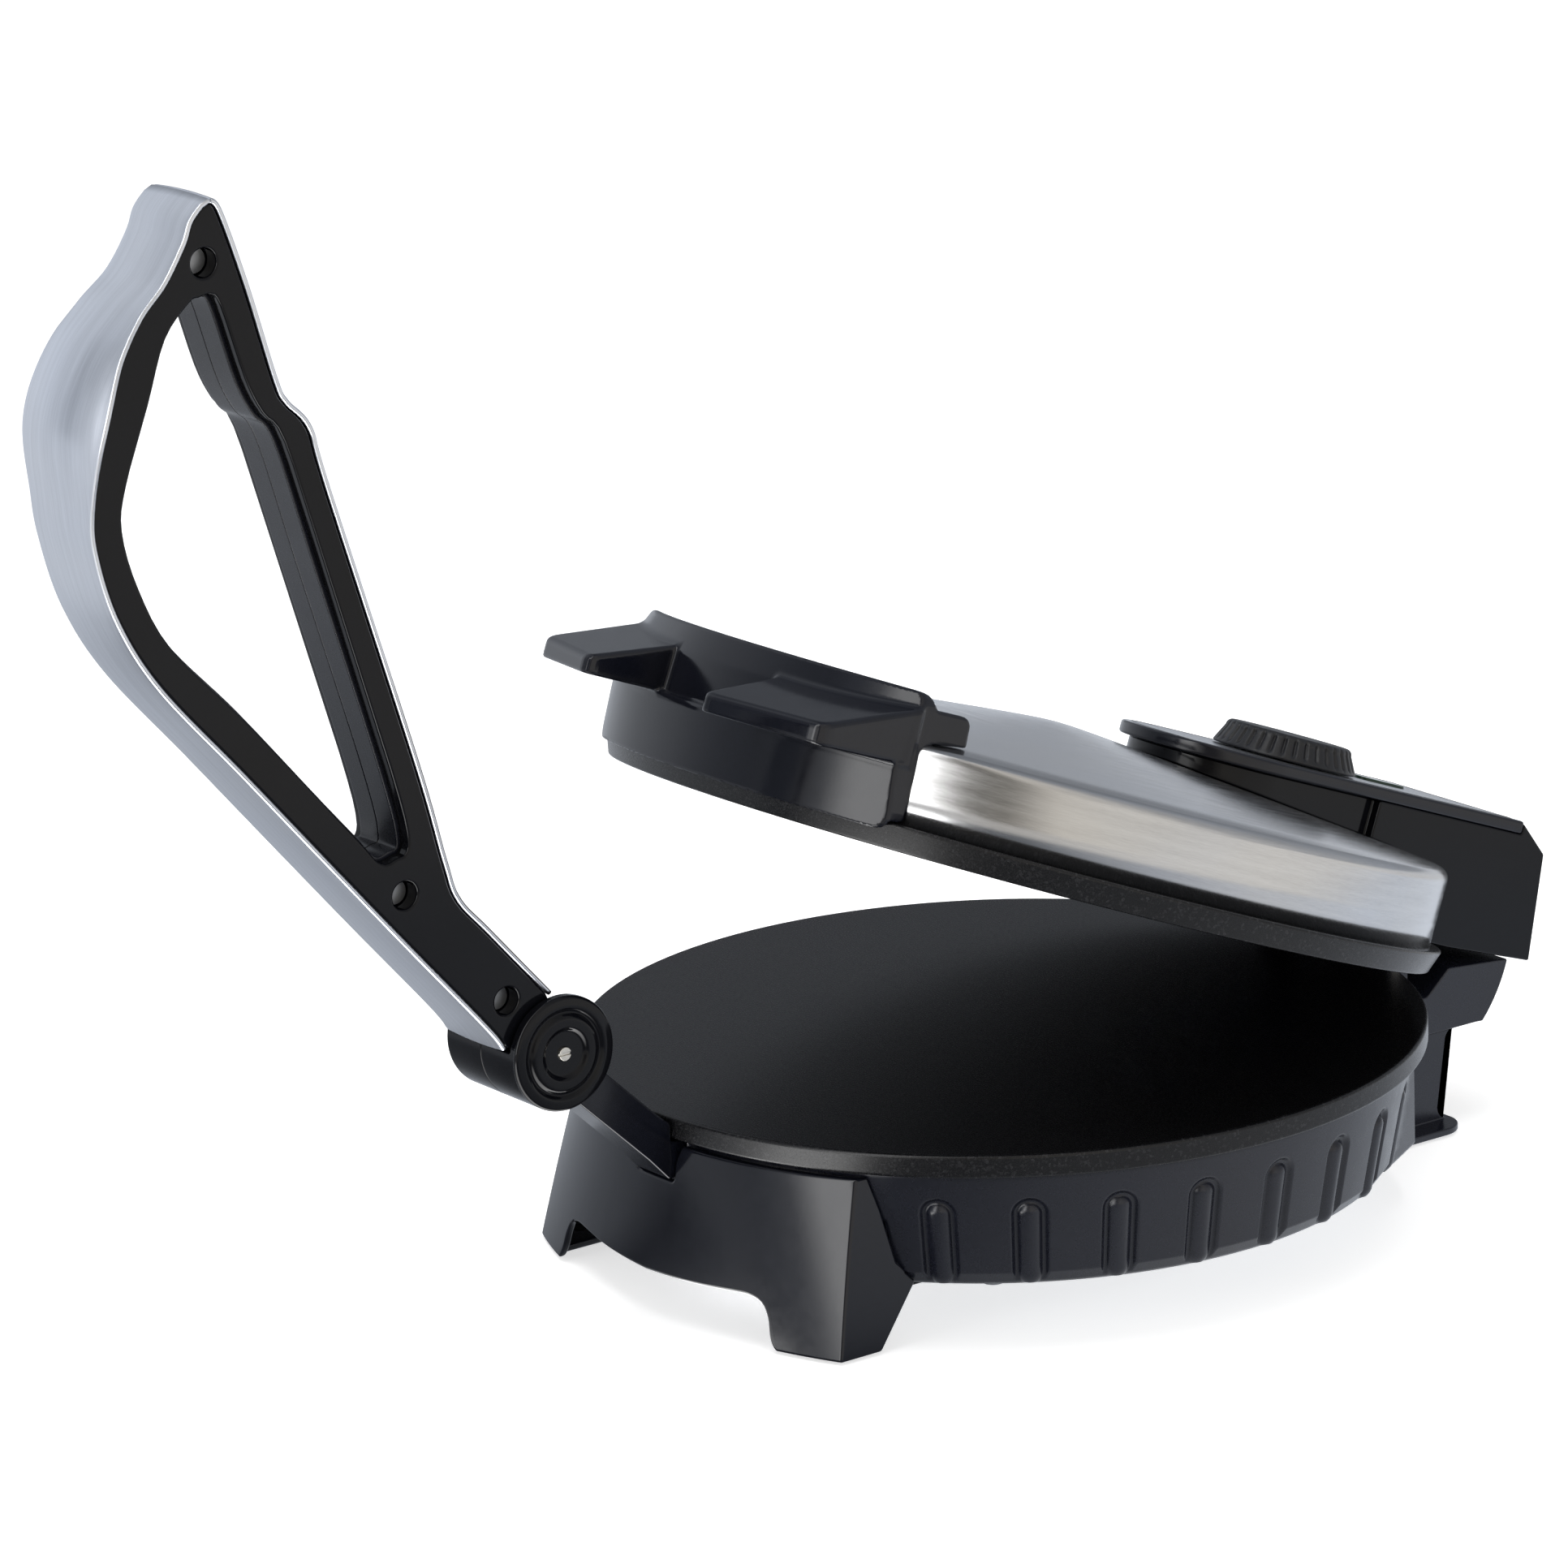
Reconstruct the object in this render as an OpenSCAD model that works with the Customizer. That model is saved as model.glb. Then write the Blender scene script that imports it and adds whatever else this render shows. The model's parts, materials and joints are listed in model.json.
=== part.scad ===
// Electric roti maker: two hinged hot plates, a press lever on a fixed front arm and a
// thermostat box behind the lid. Millimetres.
// Everything is laid out from the centre of the lower plate's cooking face: the lever is in
// front (-Y), the hinge behind (+Y). place() then stands it on the table, z = 0.
// The lid is drawn shut and turned open about the hinge. The lever is drawn lying along +Y
// from its pivot, its outer side up, and turned to its rest angle.

/* [Stand] */
// Height of the cooking face above the table
plate_h = 60; // [60:0.5:66]
// Distance of the plate's centre behind the middle of the whole object
plate_y = 62.4; // [50:0.1:70]

/* [Plates] */
// Radius of the lower plate
plate_r = 127; // [126.5:0.1:127.2]
// Height of the lower plate's rim
lower_rim_t = 6.8; // [6:0.1:6.9]
// Radius of the upper plate
upper_r = 126.2; // [125:0.1:126.4]
// Height of the upper plate's rim
upper_rim_t = 7.5; // [7:0.1:7.5]
// Gap between the shut plates
plate_gap = 1; // [0.6:0.1:1.4]
// Thickness of the plates inside their rims
plate_core_t = 5; // [4:0.1:5.5]

/* [Base] */
// Outer radius of the base shell at its top
tub_top_r = 123.2; // [122:0.1:123.5]
// Outer radius of the base shell above its bottom lip
tub_low_r = 117.2; // [116:0.1:118]
// Depth of the base shell below the cooking face
tub_depth = 42.8; // [42:0.1:43.4]
// Wall of the base shell
tub_wall = 3.2; // [2.8:0.1:3.6]
// Number of flutes on each side of the base shell
flutes = 8; // [2:1:8]
// Plan radius of the front skirt at its top
skirt_top_r = 126.6; // [126.2:0.1:127]
// Plan radius of the front skirt at its foot, where it is flatter
skirt_foot_r = 177; // [165:1:185]
// Wall of the front skirt
skirt_wall = 2.5; // [2:0.1:2.6]

/* [Lid] */
// Angle at which the lid stands open
lid_open = 21.15; // [18:0.05:21.2]
// Outer radius of the cover at its foot
cover_r = 124.5; // [123.5:0.1:124.8]
// Height of the cover's shoulder
cover_edge_z = 32; // [31:0.1:32.2]
// Height of the cover's middle
cover_peak_z = 45; // [43:0.1:45.2]
// Height of the control box's top
panel_z = 49; // [48.5:0.1:49.4]
// Width of the control box at the back
box_w = 63; // [62.6:0.1:64]
// Width of the control box in front of the hinge block
box_front_w = 56; // [54:0.5:57]

/* [Hinge] */
// Radius of the hinge pin
pin_r = 2; // [1.6:0.1:2]
// Outer radius of the hinge ears
ear_r = 4.4; // [4:0.1:4.5]

/* [Lever] */
// Angle of the raised lever above the horizontal, measured from the back
lever_rest = 106.4; // [100:0.1:106.4]
// Width of the lever's two-part core
core_w = 27; // [25:0.5:27]
// Width of the steel strap
strap_w = 29; // [27:0.5:29]
// Width of the strap at its bulge
bulge_w = 42; // [36:1:46]
// Thickness of the strap
strap_t = 1.5; // [1.2:0.1:1.6]
// Height of the strap's crown at the bulge
bulge_crown = 3.5; // [1:0.5:4]

/* [Hub] */
// Outer radius of the hub
hub_r = 16.9; // [16.5:0.1:17]
// Length of the hub along its axle
hub_len = 36.2; // [36:0.1:38]
// Radius of the axle
axle_r = 4; // [3.5:0.1:4.2]
// Width of the press arm
arm_w = 16.4; // [15:0.1:16.6]

/* [Knob] */
// Radius of the knob at its foot
knob_r = 22.4; // [21:0.1:22.6]
// Height of the knob
knob_h = 8; // [6:0.1:8.2]
// Number of ribs round the knob
knob_ribs = 36; // [24:1:40]

/* [Hidden] */
$fn = 64;
round_fn = 180;
eps = 0.01;
play = 0.05;

// Places in the plate's own frame, as [y, z]
hinge = [129.2, 3.8];
hub = [-169.4, 30.7];
knob_y = 92.6;
lens_y = 133.4;

// Base shell
lip_r = 114;
lip_z = -38.4;
ledge_r = 103;
ledge_t = 2;
tub_lean = atan((tub_top_r - tub_low_r) / (-lower_rim_t - lip_z));
flute_w = 10;
flute_top = -16;
flute_foot = -38.6;
flute_first = -47;
flute_step = 12.5;
flute_depth = 1.5;
rib_r = 4;
rib_w = 7;
rib_rise = 0.5;
flute_mid = flute_top - flute_w / 2;
cover_screw_ring = 106;
skirt_screw = [60, -86];
shoulder_turn = 30.2;
shoulder_face = 113.6;
cover_t = 0.8;
cover_plate_r = 110.5;
vent_w = 4;
vent_len = 50;
vent_step = 10;

// Heating parts under and over the plates
element_ring = 78;
element_r = 3.25;
element_turn = 330;
pin_turn = 3;
pin_len = 16;
pan_t = 0.8;
pan_r = 97;
pan_lip_r = 104;
pan_h = 12;
stud_ring = 45;
screw_r = 2;
head_r = 4;
head_h = 2.6;
low_head_h = 1.2;

// Front skirt
skirt_top = -8.4;
skirt_foot = -59.2;
skirt_foot_front = -135.2;
skirt_half_top = 68.6;
skirt_half_foot = 75.2;
skirt_side = [[-101.3, skirt_top], [-95.5, -34.7], [-89.2, -41.4], [-103.9, skirt_foot]];
arch_edge = [[56, -60], [53.2, -58.4], [51.2, -55], [49.8, -50.4], [47.3, -46.8], [43, -45.2],
    [37, -45.2], [21, -46.2], [0, -47]];
leg_inner = 56;
slot_half = 9;
slot_z = -19.2;
tab_z = -45.2;
front_foot = [66, -110];
rear_foot = [22, 140];
foot_r = 6;
pad_t = 0.8;

// Press arm
arm_turn = -43.7;
arm_over = 5;
arm_under = 6.9;
arm_eye_r = 12;
arm_foot_top = -7.6;
arm_foot_low = -18.5;
arm_foot_end = -99;
arm_back_y = -127.6;
arm_screw_y = [-111, -103.5];
bracket_t = 2;
bracket_w = 30;

// Hub
hub_wall = 2;
hub_disc = 3.8;
hub_open_from = -25;
hub_open_to = 170;
eye_r = 13.5;
eye_gap = 8.4;
bush_r = 6;
axle_half = 15.8;

// Hinge block
knuckle_w = 62;
knuckle_r = 47.5;
fixed_ear = [26.5, 31];
lid_ear = [21, 26];
post_w = 60;
post_screw_x = 20;
post_screw_y = 111.9;
post_screw_z = -34;
flange_w = 77;
flange_back = 151.5;
flange_round = 9;
gland_z = -42;
gland_r = 6;
gland_bore = 3.2;

// Lid
upper_foot = plate_gap + upper_rim_t;
upper_back = plate_gap + plate_core_t;
upper_flare = 2;
post_at = [[0, 56], [0, 116], [40, -108], [-40, -108]];
fuse_at = [30, 30];
fuse_r = 2.6;
fuse_len = 12;
grip_half_turn = 36;
grip_low_x = 70;
grip_top_x = 67;
lug_low = 25;
lug_front_in = [27.4, -153.4];
lug_front_out = [68.6, -139.9];
lug_front_z = 31.1;
lug_back = -106;
lug_inset = 6;
lug_ease = 4.5;
lug_slope = 17.4;
lug_tilt = 4.7;

// Control box
box_wall = 2.5;
box_round_y = 67;
block_y = 107;
bezel_back_y = 168;
bezel_low = 45;
bezel_in = 3;
panel_t = 0.8;
lens_len = 19;
lens_w = 8;
bush_hole_r = 5.2;
shaft_r = 3;
knob_gap = 0.4;
rib_cut_r = 0.9;

// Lever outline as [along, across] from the pivot
outer_side = [[9.8, 15.4], [19, 18.7], [54.7, 34.9], [90.7, 50.9], [124.9, 66], [158.8, 81.1],
    [181.9, 86.7], [202.5, 86.5], [215.3, 83.5], [231.5, 77], [247, 65.1], [255.6, 53.1],
    [260.8, 42.3], [268.2, 33], [273.1, 28.8], [275.6, 24.5]];
lid_side = [[276, 22.2], [272, 20.5], [250, 19.8], [222, 20.2], [214.7, 19.1], [205, 14.8],
    [187, 15.2], [101.5, 15.2], [70.4, 16.3], [57.7, 15.9], [43.9, 9.8], [17.2, -2.5]];
hand_hole = [[253, 33.5], [253, 36.5], [247, 46.8], [232.6, 57.8], [215, 71.6], [204, 77],
    [187, 77.8], [167, 74.2], [139, 60.7], [104, 45.4], [89, 38.7], [79.5, 34.5],
    [78.2, 29.5], [80.5, 24.5], [102.8, 22.7], [166, 22.4], [204.5, 22.3], [215, 26],
    [226, 27.8], [248, 28], [252.4, 30]];
core_root = [[13, -3], [0, 0], [6.5, 11.5]];
lever_screw_at = [[261.3, 28.9], [67, 30.5], [21.9, 10.3]];
screw_hole_r = 4;
screw_sink = 8;
bulge_at = 236;
bulge_spread = 18.7;
strap_steps = 8;

// Points on an arc about c, from angle a to angle b
function arc(c, r, a, b, n = 6) =
    [for (i = [0:n]) c + r * [cos(a + (b - a) * i / n), sin(a + (b - a) * i / n)]];

// A smooth curve through the points of p, with n steps from each to the next
function spline_at(a, b, c, d, t) = 0.5 * (2 * b + (c - a) * t
    + (2 * a - 5 * b + 4 * c - d) * t * t + (3 * b - a - 3 * c + d) * t * t * t);
function curve(p, n = 4) = concat(
    [for (i = [0:len(p) - 2]) for (k = [0:n - 1])
        spline_at(p[max(i - 1, 0)], p[i], p[i + 1], p[min(i + 2, len(p) - 1)], k / n)],
    [p[len(p) - 1]]);
function loop(p, n = 4) = let (m = len(p))
    [for (i = [0:m - 1]) for (k = [0:n - 1])
        spline_at(p[(i + m - 1) % m], p[i], p[(i + 1) % m], p[(i + 2) % m], k / n)];

// The corner b between a and c, eased over a length t on each side
function eased(a, b, c, t, n = 5) = [for (i = [0:n]) let (s = i / n)
    b + t * pow(1 - s, 2) * (a - b) / norm(a - b) + t * s * s * (c - b) / norm(c - b)];

// Height of the cover's top at radius r
function cone_z(r) = cover_peak_z - (cover_peak_z - cover_edge_z) * r / (cover_r - 1.5);

// A flat (y, z) outline made w thick along X, about x = 0
module across(w) {
    rotate([90, 0, 90]) translate([0, 0, -w / 2]) linear_extrude(w) children();
}

// A flat (y, z) outline made into a slab from x = a to x = b
module slab(a, b) {
    translate([a, 0, 0]) rotate([90, 0, 90]) linear_extrude(b - a) children();
}

// A flat (x, z) outline made w thick along Y, about y = 0
module facing(w) {
    rotate([90, 0, 0]) translate([0, 0, -w / 2]) linear_extrude(w) children();
}

module both_sides() {
    children();
    mirror([1, 0, 0]) children();
}

// A rod along X from x = a to x = b, at [y, z]
module rod(r, a, b, at = [0, 0]) {
    translate([a, at[0], at[1]]) rotate([0, 90, 0]) cylinder(r = r, h = b - a);
}

// A screw standing on its head at z = 0, thread up
module screw(len, r = screw_r, head = head_r, high = head_h) {
    translate([0, 0, -high]) cylinder(r = head, h = high);
    translate([0, 0, -eps]) cylinder(r = r, h = len + eps);
}

module place() {
    translate([0, plate_y, plate_h]) children();
}

module lid() {
    place() translate([0, hinge[0], hinge[1]]) rotate([-lid_open, 0, 0])
        translate([0, -hinge[0], -hinge[1]]) children();
}

module lever() {
    place() translate([0, hub[0], hub[1]]) rotate([lever_rest, 0, 0]) children();
}

// Three places on a circle
module at_three(r) {
    for (a = [30, 150, 270]) rotate([0, 0, a]) translate([r, 0, 0]) children();
}

// Four places on a circle
module at_four(r) {
    for (a = [40, 140, 220, 320]) rotate([0, 0, a]) translate([r, 0, 0]) children();
}

// Solid out to the base shell's outer face, grown by g
module tub_solid(g = 0) {
    rotate_extrude($fn = round_fn) polygon([[0, -lower_rim_t + g], [tub_top_r + g, -lower_rim_t + g],
        [tub_low_r + g, lip_z], [lip_r + g, -tub_depth - g], [0, -tub_depth - g]]);
}

// One arched flute, seen square to the wall: w wide, reaching depth to either side of it
module flute_arch(w, depth) {
    translate([-depth, 0, 0]) rotate([0, 90, 0]) cylinder(r = w / 2, h = 2 * depth);
    translate([-depth, -w / 2, flute_foot - flute_mid]) cube([2 * depth, w, flute_mid - flute_foot]);
}

// Puts children on both sides' walls, at each flute, with x pointing out of the wall
module flute_places() {
    wall_at = tub_top_r - (-lower_rim_t - flute_mid) * tan(tub_lean);
    for (i = [0:flutes - 1]) {
        a = flute_first + flute_step * i;
        for (turn = [a, 180 - a]) {
            rotate([0, 0, turn]) translate([wall_at, 0, flute_mid]) rotate([0, tub_lean, 0]) children();
        }
    }
}

// The flat-faced block that widens the base shell's foot beside the rear post
module shoulder() intersection() {
    translate([0, 0, -tub_depth]) cylinder(r = tub_top_r - 0.2, h = tub_depth - 8, $fn = round_fn);
    rotate([0, 0, shoulder_turn]) translate([0, -90, -tub_depth - 1]) cube([shoulder_face, 220, 50]);
    translate([post_w / 2 + 1.5, 45, -tub_depth - 2]) cube([90, 90, 50]);
}

module base_shell() color("#25262c") place() {
    difference() {
        union() {
            tub_solid();
            both_sides() shoulder();
        }
        rotate_extrude($fn = round_fn) polygon([[0, 1 - lower_rim_t], [tub_top_r - tub_wall,
            1 - lower_rim_t], [tub_top_r - tub_wall, -lower_rim_t], [tub_low_r - tub_wall, lip_z],
            [lip_r - tub_wall, ledge_t - tub_depth], [ledge_r, ledge_t - tub_depth],
            [ledge_r, -tub_depth - 1], [0, -tub_depth - 1]]);
        flute_places() flute_arch(flute_w, flute_depth);
        translate([-slot_half, -tub_top_r - 2, slot_z - 0.3]) cube([2 * slot_half, 12, 20]);
        at_four(cover_screw_ring) translate([0, 0, -tub_depth - 1])
            cylinder(r = screw_r + play, h = ledge_t + 2);
        both_sides() translate([post_screw_x, 90, post_screw_z]) rotate([-90, 0, 0])
            cylinder(r = screw_r + play, h = 40);
        wire_hole();
        both_sides() translate([skirt_screw[0], skirt_screw[1], -tub_depth - 1])
            cylinder(r = screw_r + play, h = ledge_t + 2);
    }
    flute_places() intersection() {
        translate([rib_rise - rib_r, 0, flute_foot - flute_mid]) cylinder(r = rib_r, h = 30);
        flute_arch(rib_w, flute_depth + 0.5);
    }
}

module bottom_cover() color("#8a8c90") place() difference() {
    translate([0, 0, -tub_depth - cover_t]) cylinder(r = cover_plate_r, h = cover_t, $fn = round_fn);
    at_four(cover_screw_ring) translate([0, 0, -tub_depth - 2]) cylinder(r = screw_r + play, h = 3);
    at_three(stud_ring) translate([0, 0, -tub_depth - 2]) cylinder(r = screw_r + play, h = 3);
    both_sides() translate([skirt_screw[0], skirt_screw[1], -tub_depth - 2])
        cylinder(r = screw_r + play, h = 3);
    for (i = [-3:3]) translate([i * vent_step - vent_w / 2, -vent_len / 2, -tub_depth - 2])
        cube([vent_w, vent_len, 3]);
}

// A cast plate: cooking face at z = 0, rim t high and wider by flare at its back
module cast_plate(r, t, flare = 0) {
    rotate_extrude($fn = round_fn) polygon(concat([[0, 0]], arc([r - 1, -1], 1, 90, 0, 4),
        arc([r + flare - 1, 1 - t], 1, 0, -90, 4), [[r - 9, -t], [r - 9, -plate_core_t],
        [0, -plate_core_t]]));
}

module lower_plate() color("#2b2b2d") place() difference() {
    union() {
        cast_plate(plate_r, lower_rim_t);
        at_three(stud_ring) translate([0, 0, -plate_core_t - pan_h + pan_t])
            cylinder(r = 6, h = pan_h - pan_t + eps);
    }
    at_three(stud_ring) translate([0, 0, -plate_core_t - pan_h - 1])
        cylinder(r = screw_r + play, h = pan_h + 3);
}

// A sheathed heating ring lying against a plate whose back is at z = 0, its two pins up
module heating_ring() {
    translate([0, 0, element_r + eps]) {
        rotate_extrude(angle = element_turn, $fn = round_fn) translate([element_ring, 0])
            circle(r = element_r);
        for (a = [pin_turn, element_turn - pin_turn]) rotate([0, 0, a])
            translate([element_ring, 0, 0]) cylinder(r = 0.75 * element_r, h = pin_len);
    }
}

// The steel pan that closes the heating ring in, over a plate whose back is at z = 0
module heat_pan() difference() {
    rotate_extrude($fn = round_fn) polygon([[0, pan_h], [pan_r, pan_h], [pan_r + 2, pan_t],
        [pan_lip_r, pan_t], [pan_lip_r, 0], [pan_r + 1.2, 0], [pan_r - 0.7, pan_h - pan_t],
        [0, pan_h - pan_t]]);
    for (a = [pin_turn, element_turn - pin_turn]) rotate([0, 0, a])
        translate([element_ring, 0, 1]) cylinder(r = element_r + 1, h = pan_h);
}

module lower_element() color("#6d6862") place() translate([0, 0, -plate_core_t])
    rotate([180, 0, 0]) rotate([0, 0, 60]) heating_ring();

module lower_reflector() color("#a4a6aa") place() translate([0, 0, -plate_core_t]) difference() {
    rotate([180, 0, 0]) rotate([0, 0, 60]) heat_pan();
    at_three(stud_ring) translate([0, 0, -pan_h - 1]) cylinder(r = screw_r + play, h = 3);
}

module plate_spacers() color("#b9babc") place() at_three(stud_ring)
    translate([0, 0, -tub_depth]) difference() {
        cylinder(r = 5, h = tub_depth - plate_core_t - pan_h);
        translate([0, 0, -1]) cylinder(r = screw_r + 0.3, h = tub_depth);
    }

module plate_screws() color("#9c9ea2") place() at_three(stud_ring)
    translate([0, 0, -tub_depth - cover_t])
        screw(tub_depth + cover_t - plate_core_t - 2, high = low_head_h);

module cover_plate_screws() color("#9c9ea2") place() at_four(cover_screw_ring)
    translate([0, 0, -tub_depth - cover_t]) screw(cover_t + ledge_t, head = 3.2, high = low_head_h);

// The solid whose front makes the skirt's outer face, drawn in by g
module skirt_body(g = 0) {
    hull() for (z = [skirt_top + 2, skirt_foot - 2]) {
        down = (skirt_top - z) / (skirt_top - skirt_foot);
        translate([0, down * (skirt_foot_front + skirt_foot_r), z])
            cylinder(r = skirt_top_r + down * (skirt_foot_r - skirt_top_r) - g, h = eps, $fn = 240);
    }
}

// The block between the skirt's two side faces, drawn in by g
module skirt_block(g = 0) {
    translate([0, -100, 0]) facing(100 + 2 * g) polygon([[g - skirt_half_top, skirt_top + g],
        [skirt_half_top - g, skirt_top + g], [skirt_half_foot - g, skirt_foot - 1 - g],
        [g - skirt_half_foot, skirt_foot - 1 - g]]);
}

// What is cut from the skirt's lower edge between its two legs
module skirt_arch() {
    edge = curve(arch_edge);
    translate([0, -120, 0]) facing(80)
        polygon(concat(edge, [for (i = [len(edge) - 2:-1:0]) [-edge[i][0], edge[i][1]]]));
}

module front_skirt() color("#1f2024") place() difference() {
    union() {
        intersection() {
            difference() {
                intersection() {
                    skirt_body();
                    skirt_block();
                }
                intersection() {
                    skirt_body(skirt_wall);
                    skirt_block(skirt_wall);
                }
            }
            across(200) polygon(concat([[-150, skirt_top]], skirt_side, [[-150, skirt_foot]]));
        }
        both_sides() intersection() {
            skirt_body(skirt_wall - 1);
            translate([leg_inner, -132, skirt_foot]) cube([17, 27, 2.5]);
        }
        both_sides() intersection() {
            skirt_body(skirt_wall - 1);
            translate([leg_inner - 2, -130, tab_z]) cube([14, 48, -tub_depth - cover_t - tab_z]);
        }
    }
    skirt_arch();
    tub_solid(0.3);
    translate([-slot_half, -150, slot_z]) cube([2 * slot_half, 60, 20]);
    translate([0, -125, 0]) facing(40) polygon([[-slot_half - 2.5, skirt_top + 1],
        [-slot_half, skirt_top - 5], [slot_half, skirt_top - 5], [slot_half + 2.5, skirt_top + 1]]);
    both_sides() translate([front_foot[0], front_foot[1], skirt_foot - 1])
        cylinder(r = 2.5, h = 5);
    both_sides() translate([skirt_screw[0], skirt_screw[1], tab_z - 1])
        cylinder(r = screw_r + play, h = 5);
}

module skirt_screws() color("#9c9ea2") place() both_sides()
    translate([skirt_screw[0], skirt_screw[1], tab_z])
        screw(ledge_t - tub_depth - tab_z, head = 3.2, high = low_head_h);

// A rubber foot under z = 0 with a stem h tall above it
module rubber_foot(h) {
    translate([0, 0, -pad_t]) cylinder(r = foot_r, h = pad_t);
    translate([0, 0, -eps]) cylinder(r = 2.5, h = h + eps);
}

module front_feet() color("#141414") place() both_sides()
    translate([front_foot[0], front_foot[1], skirt_foot]) rubber_foot(2.5);

module rear_feet() color("#141414") place() both_sides()
    translate([rear_foot[0], rear_foot[1], skirt_foot]) rubber_foot(2.5);

// A point of the press arm's slanting part, along from the hub and over its middle line
function arm_at(along, over) = hub + [along * cos(arm_turn) - over * sin(arm_turn),
    along * sin(arm_turn) + over * cos(arm_turn)];

module press_arm() color("#1c1d20") place() difference() {
    union() {
        rod(arm_eye_r, -arm_w / 2, arm_w / 2, hub);
        across(arm_w) polygon([arm_at(6, arm_over), [-130.6, 0.5], [arm_back_y, -1.9],
            [arm_back_y, arm_foot_top], [arm_foot_end, arm_foot_top], [arm_foot_end, arm_foot_low],
            [-128.7, arm_foot_low], [-135.5, -11.2], arm_at(6, -arm_under)]);
    }
    rod(axle_r, -20, 20, hub);
    for (y = arm_screw_y) translate([0, y, arm_foot_low - 1]) cylinder(r = screw_r + play, h = 9);
}

module arm_bracket() color("#a4a6aa") place() difference() {
    union() {
        translate([-bracket_w / 2, -115, arm_foot_low - bracket_t]) cube([bracket_w, 16, bracket_t]);
        both_sides() translate([bracket_w / 2 - bracket_t, -107, ledge_t - tub_depth])
            cube([bracket_t, 8, arm_foot_low - bracket_t - ledge_t + tub_depth + 1]);
        both_sides() translate([bracket_w / 2 - bracket_t, -107, ledge_t - tub_depth])
            cube([14, 6, bracket_t]);
    }
    for (y = arm_screw_y) translate([0, y, arm_foot_low - 4]) cylinder(r = screw_r + play, h = 6);
}

module arm_screws() color("#9c9ea2") place() for (y = arm_screw_y)
    translate([0, y, arm_foot_low - bracket_t]) screw(bracket_t + 7.5, head = 3.4);

// One half of the hub's casing, on the side x > 0
module hub_shell() difference() {
    union() {
        rod(hub_r - 0.8, hub_len / 2 - hub_disc, hub_len / 2, hub);
        rod(hub_r, hub_len / 2 - hub_disc, hub_len / 2 - 0.8, hub);
        slab(0, hub_len / 2 - hub_disc + eps) translate(hub) difference() {
            circle(r = hub_r);
            circle(r = hub_r - hub_wall);
            polygon(concat([[0, 0]], arc([0, 0], 2 * hub_r, hub_open_from, hub_open_to, 8)));
        }
    }
    rod(axle_r, 0, hub_len / 2 - hub_disc + 1.5, hub);
    rod(axle_r / 2, 0, hub_len, hub);
    slab(-1, arm_w / 2 + 0.15) translate(hub) rotate(arm_turn) translate([5, -arm_under - 0.2])
        square([20, arm_under + arm_over + 0.4]);
}

// Groove between radii a and b in the hub's end face
module ring_groove(a, b, depth) {
    slab(hub_len / 2 - depth, hub_len / 2 + 1) translate(hub) difference() {
        circle(r = b);
        circle(r = a);
    }
}

module hub_shell_near() color("#1a1b1e") place() difference() {
    hub_shell();
    ring_groove(11.2, 13.8, 0.8);
    ring_groove(3.4, 7.6, 0.6);
}

module hub_shell_far() color("#1a1b1e") place() mirror([1, 0, 0]) hub_shell();

module hub_axle() color("#b4b5b8") place() difference() {
    union() {
        rod(axle_r, -axle_half, axle_half, hub);
        rod(axle_r / 2, -hub_len / 2 + 0.3, hub_len / 2 - 0.3, hub);
    }
    translate([hub_len / 2 - 0.8, hub[0] - 3, hub[1] - 0.35]) cube([1, 6, 0.7]);
}

module rear_post() color("#1f2024") place() difference() {
    union() {
        across(post_w) polygon(concat([[112, skirt_foot], [112, -28.4], [152.4, -28.4]],
            arc([153.4, -32.4], 4, 104, 180, 4), [[146.1, -53]], arc([149.6, -53], 3.5, 180, 250, 3),
            [[150, skirt_foot]]));
        translate([0, 0, skirt_foot]) linear_extrude(2.2) union() {
            translate([-flange_w / 2, 114]) square([flange_w, flange_back - flange_round - 114]);
            both_sides() translate([flange_w / 2 - flange_round, flange_back - flange_round])
                circle(r = flange_round);
            translate([flange_round - flange_w / 2, flange_back - flange_round])
                square([flange_w - 2 * flange_round, flange_round]);
        }
    }
    tub_solid(0.2);
    translate([0, 0, -tub_depth - 5]) cylinder(r = lip_r + 0.2, h = 6, $fn = round_fn);
    translate([-post_w / 2 + 3, 122, skirt_foot + 4]) cube([post_w - 6, 19, 60]);
    wire_hole();
    both_sides() translate([rear_foot[0], rear_foot[1], skirt_foot - 1]) cylinder(r = 2.5, h = 5);
    translate([0, 0, gland_z]) rotate([-90, 0, 0]) cylinder(r = gland_r, h = 160);
    both_sides() translate([post_screw_x, 0, post_screw_z]) rotate([-90, 0, 0])
        cylinder(r = screw_r + play, h = 126);
}

// The way for the wires from the base shell through the post's front
module wire_hole() {
    translate([0, 100, -24]) rotate([-90, 0, 0]) cylinder(r = 5, h = 30);
}

module post_screws() color("#9c9ea2") place() both_sides()
    translate([post_screw_x, post_screw_y, post_screw_z]) rotate([-90, 0, 0]) screw(12);

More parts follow.
